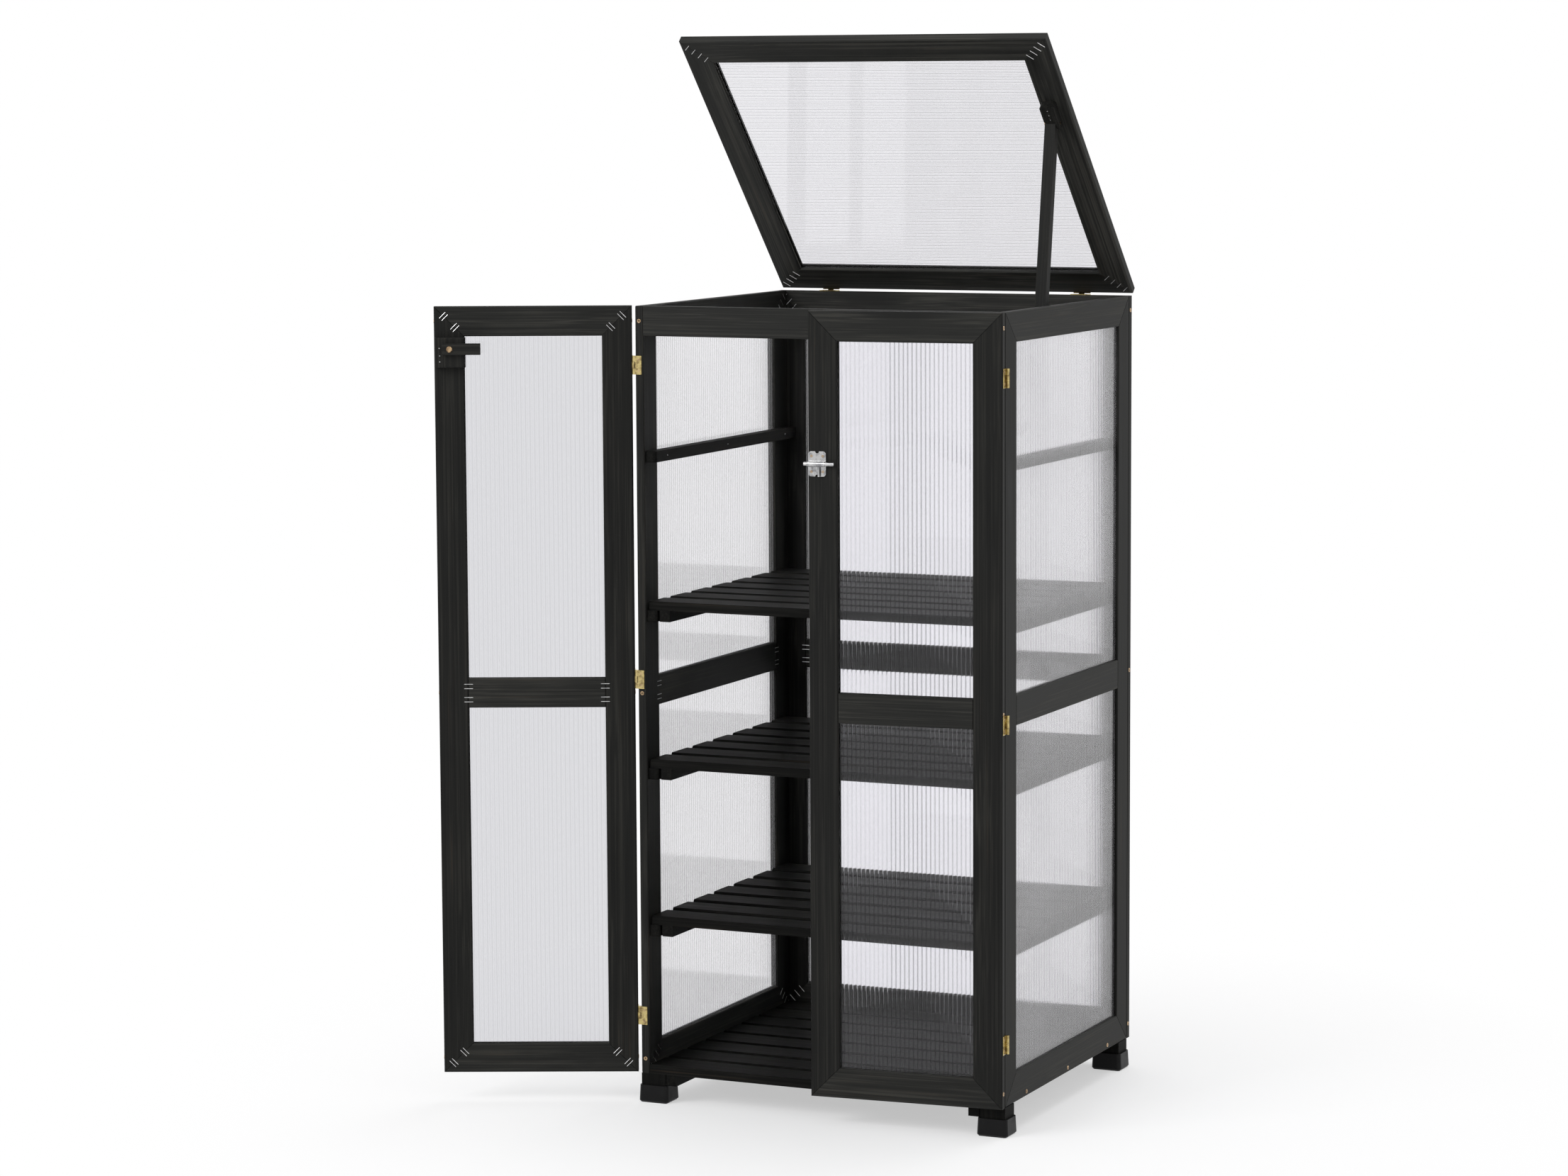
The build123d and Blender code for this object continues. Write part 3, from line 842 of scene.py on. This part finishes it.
@dataclass(frozen=True)
class ButtHinge:
    """Sizes of a butt hinge and the places of its screws.

    A door's middle hinge sits a little above or below the middle of the carcass.
    """

    height: float = 25.0 * MM
    leaf: float = 1.0 * MM
    face_from_pin: float = 1.7 * MM
    screw_from_pin: float = 7.8 * MM
    screw_steps: Range = (-7.5 * MM, 7.5 * MM)
    screw_sunk: float = 0.28 * MM
    left_middle: float = 18.5 * MM
    right_middle: float = -14.0 * MM


@dataclass(frozen=True)
class DoorBolt:
    """Places of the screws in the barrel bolt's plate and in its keeper."""

    plate: float = 1.2 * MM
    from_edge: float = 12.8 * MM
    screw_across: float = 7.8 * MM
    screw_up: float = 10.2 * MM
    keeper_from_edge: float = 10.0 * MM
    keeper_screw_up: float = 11.5 * MM


@dataclass
class Carcass:
    """Sizes of the cabinet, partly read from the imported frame, and its five panels and lid."""

    board: float = 40.0 * MM
    thickness: float = 12.0 * MM
    door_gap: float = 1.2 * MM
    meeting_gap: float = 2.0 * MM
    cleat: float = 15.0 * MM
    cleat_levels: int = 4
    door_staples: Shares = (0.29, 0.37, 0.66, 0.74)
    hinge: ButtHinge = ButtHinge()
    bolt: DoorBolt = DoorBolt()
    front: float = field(init=False)
    rear: float = field(init=False)
    half_width: float = field(init=False)
    bottom: float = field(init=False)
    top: float = field(init=False)
    side_depth: float = field(init=False)

    def __post_init__(self) -> None:
        """Read the overall sizes."""
        back_low, back_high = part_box("back_stiles")
        side_low, side_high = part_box("right_side_top_rail")
        self.half_width, self.rear, self.top = back_high
        self.bottom, self.front = back_low.z, side_low.y
        self.side_depth = side_high.y - side_low.y

    def door(self, name: str, start: float) -> Panel:
        """Describe a door.

        Args:
            name: Its name, which is also its body's.
            start: Where its left edge is, closed.

        Returns:
            Its frame.
        """
        corner = Vector((start, self.front - self.door_gap - self.thickness, self.bottom))
        width, height = self.half_width - self.meeting_gap / 2, self.top - self.bottom
        turn = opening_turn(f"{name}_hinge")
        return Panel(name, name, corner, RIGHT, UP, width, height, turn, staple_shares=self.door_staples)

    def lid(self) -> Panel:
        """Describe the lid, whose depth comes from how far its side rail reaches at rest.

        Returns:
            Its frame.
        """
        low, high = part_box("lid_right_rail")
        angle = math.radians(opening_angle("lid_hinge"))
        depth = (high.y - low.y - self.thickness * math.sin(angle)) / math.cos(angle)
        corner = Vector((-self.half_width, self.rear - depth, self.top + self.door_gap + self.thickness))
        width, turn = 2 * self.half_width, opening_turn("lid_hinge")
        return Panel("lid", "lid", corner, RIGHT, BACK, width, depth, turn, has_mid_rail=False)

    def panels(self) -> dict[str, Panel]:
        """Describe all the frames.

        Returns:
            The side, back, door and lid frames by name.
        """
        half, depth, height = self.half_width, self.side_depth, self.top - self.bottom
        left_corner = Vector((-half, self.front + depth, self.bottom))
        right_corner = Vector((half, self.front, self.bottom))
        back_corner = Vector((half, self.rear, self.bottom))
        frames = (
            Panel("left_side", "cabinet", left_corner, -BACK, UP, depth, height),
            Panel("right_side", "cabinet", right_corner, BACK, UP, depth, height),
            Panel("back", "cabinet", back_corner, -RIGHT, UP, 2 * half, height),
            self.door("left_door", -half),
            self.door("right_door", self.meeting_gap / 2),
            self.lid(),
        )
        return {panel.name: panel for panel in frames}


@dataclass(frozen=True)
class FlutedSheet:
    """One twin-wall sheet: a row of flutes, open at both ends, between two skins."""

    across: float
    length: float
    thickness: float = 4.0 * MM
    pitch: float = FLUTE_PITCH
    wall: float = 0.2 * MM

    def mesh(self) -> bpy.types.Mesh:
        """Make one sheet at the origin, its flutes along Z and side by side along X.

        Returns:
            Its mesh.
        """
        bm = bmesh.new()
        flutes = int(self.across // self.pitch)
        bmesh.ops.create_grid(bm, x_segments=flutes, y_segments=1, size=0.5)
        bmesh.ops.scale(bm, vec=(flutes * self.pitch, self.thickness, 1.0), verts=bm.verts)
        hollows = bm.faces[:]
        bmesh.ops.inset_individual(bm, faces=hollows, thickness=self.wall)
        bmesh.ops.delete(bm, geom=hollows, context="FACES_ONLY")
        grown = bmesh.ops.extrude_face_region(bm, geom=bm.faces[:], use_keep_orig=True)
        far_end = [item for item in grown["geom"] if isinstance(item, bmesh.types.BMVert)]
        bmesh.ops.translate(bm, vec=(0.0, 0.0, self.length), verts=far_end)
        bmesh.ops.translate(bm, vec=(0.0, 0.0, -self.length / 2), verts=bm.verts)
        return kept_mesh(bm, "fluted_sheet")


@dataclass
class Glazing:
    """The twin-wall sheets in the grooves of a panel, with all their flutes."""

    carcass: Carcass
    insert: float = 8.0 * MM

    def openings(self, panel: Panel) -> list[Range]:
        """Find the openings of a frame.

        Args:
            panel: The frame.

        Returns:
            The low and high edge of each opening, up the panel.
        """
        low, high = self.carcass.board, panel.height - self.carcass.board
        if not panel.has_mid_rail:
            return [(low, high)]
        return [(low, high / 2), (low / 2 + panel.height / 2, high)]

    def piece(self, panel: Panel, node: str, material: Material) -> bpy.types.Object:
        """Make a panel's sheets, in the place of the plainer packed ones.

        Args:
            panel: The frame that holds them.
            node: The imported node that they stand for.
            material: Their material.

        Returns:
            The piece, riding on the panel's body.
        """
        bm = bmesh.new()
        width = panel.width - 2 * self.carcass.board + 2 * self.insert
        for low, high in self.openings(panel):
            height = high - low + 2 * self.insert
            across, along, sizes = panel.across, panel.up, (width, height)
            if not panel.has_mid_rail:
                across, along, sizes = panel.up, panel.across, (height, width)
            middle = (panel.width / 2, (low + high) / 2, -self.carcass.thickness / 2)
            stamp(bm, FlutedSheet(*sizes).mesh(), panel.spot(*middle, across, along))
        sheets = new_piece(kept_mesh(bm, f"{panel.name}_fluted_sheets"), material, panel.body, "twin_wall")
        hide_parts(node)
        return sheets


@dataclass
class FixingSet:
    """Collects the fixings of each body and makes one piece of each kind for it.

    The shares are of a panel's or a cleat's length, and the middle rail's steps of a board's width. The
    nails of the latch lie in from the door's free edge and up from the block's middle, and those of the prop
    lie back from the lid's front edge.
    """

    carcass: Carcass
    panels: dict[str, Panel]
    mid_rail_steps: Shares = (-0.3, -0.15, 0.15, 0.3)
    floor_shares: Shares = (1 / 6, 1 / 2, 5 / 6)
    back_shares: Shares = (0.06, 0.36, 0.64, 0.94)
    cleat_shares: Shares = (0.08, 0.5, 0.92)
    latch_nails: tuple[Range, ...] = ((8.0 * MM, 6.0 * MM), (8.5 * MM, -4.0 * MM), (8.5 * MM, -12.0 * MM))
    latch_gap: float = 0.3 * MM
    prop_nails: Triple = (118.0 * MM, 126.0 * MM, 134.0 * MM)
    prop_block_face: float = -24.3 * MM
    spots: dict[tuple[str, Fixing], list[Matrix]] = field(default_factory=dict)

    def put(self, body: str, kind: Fixing, place: Matrix) -> None:
        """Note one fixing on a body."""
        self.spots.setdefault((body, kind), []).append(place)

    def spread(self, panel: Panel, kind: Fixing, points: Iterable[Range], *rest: float | Vector) -> None:
        """Note fixings of a kind at points of a panel, with the rest as for a spot there."""
        for x, y in points:
            self.put(panel.body, kind, panel.spot(x, y, *rest))

    def frame_staples(self, panel: Panel) -> None:
        """Put staples across each mitre of a panel's inner face, and across the ends of a middle rail.

        Args:
            panel: The frame.
        """
        board, inner = self.carcass.board, -self.carcass.thickness
        insets = [board * share for share in panel.staple_shares]
        for x_end, x_in in ((0.0, 1.0), (panel.width, -1.0)):
            for y_end, y_in in ((0.0, 1.0), (panel.height, -1.0)):
                points = [(x_end + x_in * inset, y_end + y_in * inset) for inset in insets]
                lie = panel.across * -y_in + panel.up * x_in
                self.spread(panel, Fixing.STAPLE, points, inner, lie, -panel.normal)
        if panel.has_mid_rail:
            heights = [panel.height / 2 + step * board for step in self.mid_rail_steps]
            points = product((board, panel.width - board), heights)
            self.spread(panel, Fixing.STAPLE, points, inner, panel.across, -panel.normal)

    def edge_screws(self, name: str, far_edge: bool) -> None:
        """Put three screws in a stile's edge, into the ends of the rails.

        Args:
            name: The panel's name.
            far_edge: Whether the edge is the one across from the panel's origin.
        """
        panel, inset = self.panels[name], self.carcass.board / 2
        x, face = (panel.width, panel.across) if far_edge else (0.0, -panel.across)
        points = product((x,), (inset, panel.height / 2, panel.height - inset))
        self.spread(panel, Fixing.SCREW, points, -self.carcass.thickness / 2, panel.up, face)

    def frame_fixings(self) -> None:
        """Put the staples in every frame, and the screws in the stiles' edges."""
        for panel in self.panels.values():
            self.frame_staples(panel)
        self.edge_screws("left_side", True)
        self.edge_screws("right_side", False)
        for name, far_edge in product(("back", "left_door", "right_door"), (False, True)):
            self.edge_screws(name, far_edge)

    def floor_screws(self) -> None:
        """Put screws through each side's bottom rail into the ends of the floor slats."""
        height = middle_of("floor_slats").z - self.carcass.bottom
        for panel in (self.panels["left_side"], self.panels["right_side"]):
            points = [(panel.width * share, height) for share in self.floor_shares]
            self.spread(panel, Fixing.SCREW, points, 0.0, panel.up, panel.normal)

    def back_screws(self) -> None:
        """Put screws through the back's stiles into the rear edges of the sides."""
        panel, inset = self.panels["back"], self.carcass.thickness / 2
        heights = [panel.height * share for share in self.back_shares]
        points = product((inset, panel.width - inset), heights)
        self.spread(panel, Fixing.SCREW, points, 0.0, panel.up, panel.normal)

    def lid_screws(self) -> None:
        """Put a screw in the lid's front and rear edges at each corner."""
        panel, inset = self.panels["lid"], self.carcass.board / 2
        for y, face in ((0.0, -panel.up), (panel.height, panel.up)):
            points = product((inset, panel.width - inset), (y,))
            self.spread(panel, Fixing.SCREW, points, -self.carcass.thickness / 2, panel.across, face)

    def door_hinge_screws(self) -> None:
        """Put two screws in each leaf of the doors' hinges."""
        carcass, hinge = self.carcass, self.carcass.hinge
        half = hinge.height / 2
        post_face = carcass.front - hinge.leaf + hinge.screw_sunk
        doors = {"left_door": (-1, hinge.left_middle), "right_door": (1, hinge.right_middle)}
        for name, (side, offset) in doors.items():
            pin = pin_of(f"{name}_hinge")
            low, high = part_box(f"{name}_hinge_leaves")
            middle = (carcass.bottom + carcass.top) / 2 + offset
            on_post = Vector((pin.x - side * hinge.screw_from_pin, post_face, 0.0))
            on_door = Vector((pin.x - side * hinge.face_from_pin, pin.y - hinge.screw_from_pin, 0.0))
            for height, step in product((low.z + half, middle, high.z - half), hinge.screw_steps):
                rise = UP * (height + step)
                self.put("cabinet", Fixing.SMALL_SCREW, set_at(on_post + rise, UP, -BACK))
                seat = set_at(on_door + rise, UP, RIGHT * side)
                self.put(name, Fixing.SMALL_SCREW, self.panels[name].turn @ seat)

    def lid_hinge_screws(self) -> None:
        """Put two screws in each leaf of the lid's hinges."""
        hinge, pin = self.carcass.hinge, pin_of("lid_hinge")
        low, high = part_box("lid_hinge_leaves")
        back_face = self.carcass.top + hinge.leaf - hinge.screw_sunk
        middles = (low.x + hinge.height / 2, high.x - hinge.height / 2)
        for middle, step in product(middles, hinge.screw_steps):
            on_back = Vector((middle + step, pin.y - hinge.screw_from_pin, back_face))
            on_lid = Vector((middle + step, pin.y - hinge.face_from_pin, pin.z + hinge.screw_from_pin))
            self.put("cabinet", Fixing.SMALL_SCREW, set_at(on_back, RIGHT, UP))
            self.put("lid", Fixing.SMALL_SCREW, self.panels["lid"].turn @ set_at(on_lid, RIGHT, BACK))

    def bolt_screws(self) -> None:
        """Put four screws in the bolt's plate and two in its keeper."""
        bolt, left, right = self.carcass.bolt, self.panels["left_door"], self.panels["right_door"]
        height = middle_of("bolt_plate").z - self.carcass.bottom
        columns = (bolt.from_edge - bolt.screw_across, bolt.from_edge + bolt.screw_across)
        rows = (height - bolt.screw_up, height + bolt.screw_up)
        self.spread(right, Fixing.SMALL_SCREW, product(columns, rows), bolt.plate, right.up, right.normal)
        columns = (left.width - bolt.keeper_from_edge,)
        rows = (height - bolt.keeper_screw_up, height + bolt.keeper_screw_up)
        self.spread(left, Fixing.SMALL_SCREW, product(columns, rows), bolt.plate, left.up, left.normal)

    def cleat_nails(self) -> None:
        """Put nails through each shelf cleat into its side."""
        low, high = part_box("shelf_cleats")
        size, levels = self.carcass.cleat, self.carcass.cleat_levels
        spacing = (high.z - low.z - size) / (levels - 1)
        sides = ((low.x, 1), (high.x, -1))
        for level, (edge, side), share in product(range(levels), sides, self.cleat_shares):
            height = low.z + level * spacing + size / 2
            seat = Vector((edge + side * size, low.y + (high.y - low.y) * share, height))
            self.put("cabinet", Fixing.NAIL, set_at(seat, UP, RIGHT * side))

    def block_nails(self) -> None:
        """Put nail heads on the latch block and the prop's block."""
        carcass, door, lid = self.carcass, self.panels["left_door"], self.panels["lid"]
        middle = middle_of("latch_block").z - carcass.bottom
        face = -2 * carcass.thickness - carcass.door_gap - self.latch_gap
        points = [(door.width - inward, middle + rise) for inward, rise in self.latch_nails]
        self.spread(door, Fixing.NAIL, points, face, door.up, -door.normal)
        points = product((middle_of("prop_block").x + carcass.half_width,), self.prop_nails)
        self.spread(lid, Fixing.NAIL, points, self.prop_block_face, lid.up, -lid.normal)

    def collect(self) -> None:
        """Put all the fixings in their places."""
        self.frame_fixings()
        self.floor_screws()
        self.back_screws()
        self.lid_screws()
        self.door_hinge_screws()
        self.lid_hinge_screws()
        self.bolt_screws()
        self.cleat_nails()
        self.block_nails()

    def pieces(self, finishes: dict[str, Material]) -> Iterator[bpy.types.Object]:
        """Make one mesh of each kind of fixing for each body.

        Args:
            finishes: The materials by name.

        Yields:
            The pieces, riding on their bodies.
        """
        for (body, kind), places in self.spots.items():
            bm = bmesh.new()
            for place in places:
                stamp(bm, SHAPES[kind], place)
            yield new_piece(kept_mesh(bm, f"{body}_{kind.title}"), finishes[kind.finish], body, kind.slot)


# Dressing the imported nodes


def first_match(name: str, rules: Rules) -> Enum:
    """The choice of the first rule that has a pattern which fits a name."""
    pairs = ((pattern, choice) for patterns, choice in rules for pattern in patterns.split())
    return next(choice for pattern, choice in pairs if fnmatchcase(name, pattern))


@dataclass
class NodeDresser:
    """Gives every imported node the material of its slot, with the grain along the board."""

    sheets: dict[Grain, Material]
    finishes: dict[str, Material]
    grain_rules: Rules = (
        ("lid_prop", Grain.PROP),
        ("lid_left_rail lid_right_rail prop_block", Grain.LID_SLOPE),
        ("*stile* legs latch_block", Grain.UPRIGHT),
        ("*_side_*_rail *cleats *battens", Grain.DEPTH),
        ("left_door* turn_button", Grain.LEFT_DOOR),
        ("right_door*", Grain.RIGHT_DOOR),
        ("*", Grain.ACROSS),
    )
    # Which boards get painted light (the rails) and which get painted shade (slats, battens, cleats and legs).
    painted_light_rules: Rules = (
        ("*slats *battens *cleats legs", PaintedLight.SLAT),
        ("*_rail", PaintedLight.RAIL),
        ("*", PaintedLight.STILE),
    )
    across_flutes_rules: Rules = (
        ("*side*", Grain.DEPTH),
        ("lid*", Grain.LID_SLOPE),
        ("left_door*", Grain.LEFT_DOOR),
        ("right_door*", Grain.RIGHT_DOOR),
        ("*", Grain.ACROSS),
    )

    def wood_of(self, node: str) -> Material:
        """The stained wood of a node."""
        return stained_wood(first_match(node, self.grain_rules), first_match(node, self.painted_light_rules))

    def sheet_of(self, node: str) -> Material:
        """The material of a panel's sheets."""
        return self.sheets[first_match(node, self.across_flutes_rules)]

    def dress(self) -> None:
        """Put the materials on the nodes."""
        for entry in frame["record"]["subparts"]:
            node, slot = entry["node"], entry["material_slot"]
            if slot == "stained_wood":
                material = self.wood_of(node)
            elif slot == "twin_wall":
                material = self.sheet_of(node)
            else:
                material = self.finishes[slot]
            mesh = frame["nodes"][node].data
            mesh.materials.clear()
            mesh.materials.append(material)


# The studio


@dataclass(frozen=True)
class Softbox:
    """A square area light, with its power in watts."""

    name: str
    place: Triple
    size: float
    power: float

    def hang(self, target: Vector) -> None:
        """Make the light.

        Args:
            target: What it points at.
        """
        data = bpy.data.lights.new(self.name, "AREA")
        data.size = self.size
        data.energy = self.power
        lamp = bpy.data.objects.new(self.name, data)
        place = Vector(self.place)
        aim = (target - place).to_track_quat("-Z", "Y").to_matrix().to_4x4()
        lamp.matrix_world = Matrix.Translation(place) @ aim
        lamp.visible_transmission = False
        bpy.context.scene.collection.objects.link(lamp)


@dataclass
class Studio:
    """White sweep, soft light and the camera at the photograph's place.

    The floor shows its own shade near the cabinet and fades to white over a stretch away from it.
    """

    camera_place: Triple = (2.3527, -5.48635, 1.37416)
    yaw: float = 24.58
    pitch: float = 6.55
    roll: float = -0.31
    sensor: float = 36.0
    sight: float = 100.0
    sky: float = 0.55
    floor_radius: float = 30.0
    floor_sides: int = 96
    floor_colour: Triple = (0.92, 0.92, 0.93)
    floor_roughness: float = 0.9
    floor_gloss: float = 0.1
    fade_stretch: Range = (0.3, 1.1)
    fade: Range = (0.5, 1.0)
    target_height: float = 0.7
    softboxes: tuple[Softbox, ...] = (
        Softbox("key", (-2.4, -4.2, 3.4), size=2.6, power=150.0),
        Softbox("fill", (4.2, -2.0, 2.2), size=2.4, power=18.0),
        Softbox("top", (0.4, 1.6, 4.2), size=2.4, power=70.0),
    )
    bounces: int = 32
    clear_bounces: int = 64

    def camera(self) -> None:
        """Make the camera."""
        data = bpy.data.cameras.new("camera")
        data.sensor_width = self.sensor
        data.sensor_fit = "HORIZONTAL"
        data.lens = self.sensor * FOCAL_PX / PHOTO_WIDTH_PX
        data.clip_end = self.sight
        camera = bpy.data.objects.new("camera", data)
        place = Matrix.Translation(self.camera_place)
        for angle, axis in ((self.yaw, "Z"), (90.0 - self.pitch, "X"), (self.roll, "Z")):
            place = place @ Matrix.Rotation(math.radians(angle), 4, axis)
        camera.matrix_world = place
        bpy.context.scene.collection.objects.link(camera)
        bpy.context.scene.camera = camera

    @staticmethod
    def seen_directly(bench: NodeBench) -> Socket:
        """Tell rays that look from rays that only carry light.

        Args:
            bench: Where the nodes go.

        Returns:
            1 for a camera, glossy or transmission ray, otherwise 0.
        """
        path = bench.add("ShaderNodeLightPath").outputs
        direct = bench.maths("MAXIMUM", path["Is Camera Ray"], path["Is Glossy Ray"])
        return bench.maths("MAXIMUM", direct, path["Is Transmission Ray"])

    def world(self) -> None:
        """Make a world that is white to look at and softer as light."""
        world = bpy.data.worlds.new("studio")
        bpy.context.scene.world = world
        world.use_nodes = True
        world.node_tree.nodes.clear()
        bench = NodeBench(world.node_tree)
        strength = bench.remap(self.seen_directly(bench), (0.0, 1.0), (self.sky, 1.0))
        sky = bench.add("ShaderNodeBackground", {"Color": WHITE, "Strength": strength})
        bench.add("ShaderNodeOutputWorld", {"Surface": sky.outputs["Background"]})

    def floor(self) -> None:
        """Make a pale floor that fades to white away from the cabinet."""
        bm = bmesh.new()
        bmesh.ops.create_circle(bm, cap_ends=True, segments=self.floor_sides, radius=self.floor_radius)
        mesh = bpy.data.meshes.new("floor")
        bm.to_mesh(mesh)
        bm.free()
        floor = bpy.data.objects.new("floor", mesh)
        bpy.context.scene.collection.objects.link(floor)
        bench = MaterialBench.start("floor")
        bench.put(
            Base_Color=self.floor_colour,
            Roughness=self.floor_roughness,
            Specular_IOR_Level=self.floor_gloss,
        )
        white = bench.add("ShaderNodeEmission", {"Color": WHITE})
        away = bench.add("ShaderNodeVectorMath", {0: bench.place()}, operation="LENGTH")
        faded = bench.remap(away.outputs["Value"], self.fade_stretch, self.fade)
        bench.mix_in(bench.times(faded, self.seen_directly(bench)), white.outputs["Emission"])
        mesh.materials.append(bench.material)

    def build(self) -> None:
        """Make the whole studio."""
        scene = bpy.context.scene
        scene.view_settings.view_transform = "Standard"
        scene.cycles.transparent_max_bounces = self.clear_bounces
        scene.cycles.transmission_bounces = self.bounces
        scene.cycles.max_bounces = self.bounces
        self.camera()
        self.world()
        self.floor()
        for softbox in self.softboxes:
            softbox.hang(UP * self.target_height)


def main() -> None:
    """Dress the frame, add the sheets and the fixings, and build the studio."""
    finishes = {metal.name: metal.material() for metal in METALS}
    finishes["foot_plastic"] = FootPlastic().material()
    dresser = NodeDresser({sheet.across: sheet.material() for sheet in SHEETS}, finishes)
    dresser.dress()
    log.info("dressed %d packed nodes", len(frame["nodes"]))

    carcass = Carcass()
    panels = carcass.panels()
    glazing = Glazing(carcass)
    for name, panel in panels.items():
        node = f"{name}_sheets" if panel.has_mid_rail else f"{name}_sheet"
        piece = glazing.piece(panel, node, dresser.sheet_of(node))
        log.info("made %s with %d faces", piece.name, len(piece.data.polygons))
    fixings = FixingSet(carcass, panels)
    fixings.collect()
    for piece in fixings.pieces(finishes):
        log.info("made %s with %d faces", piece.name, len(piece.data.polygons))

    Studio().build()
    bpy.context.view_layer.update()


if __name__ == "__main__":
    main()
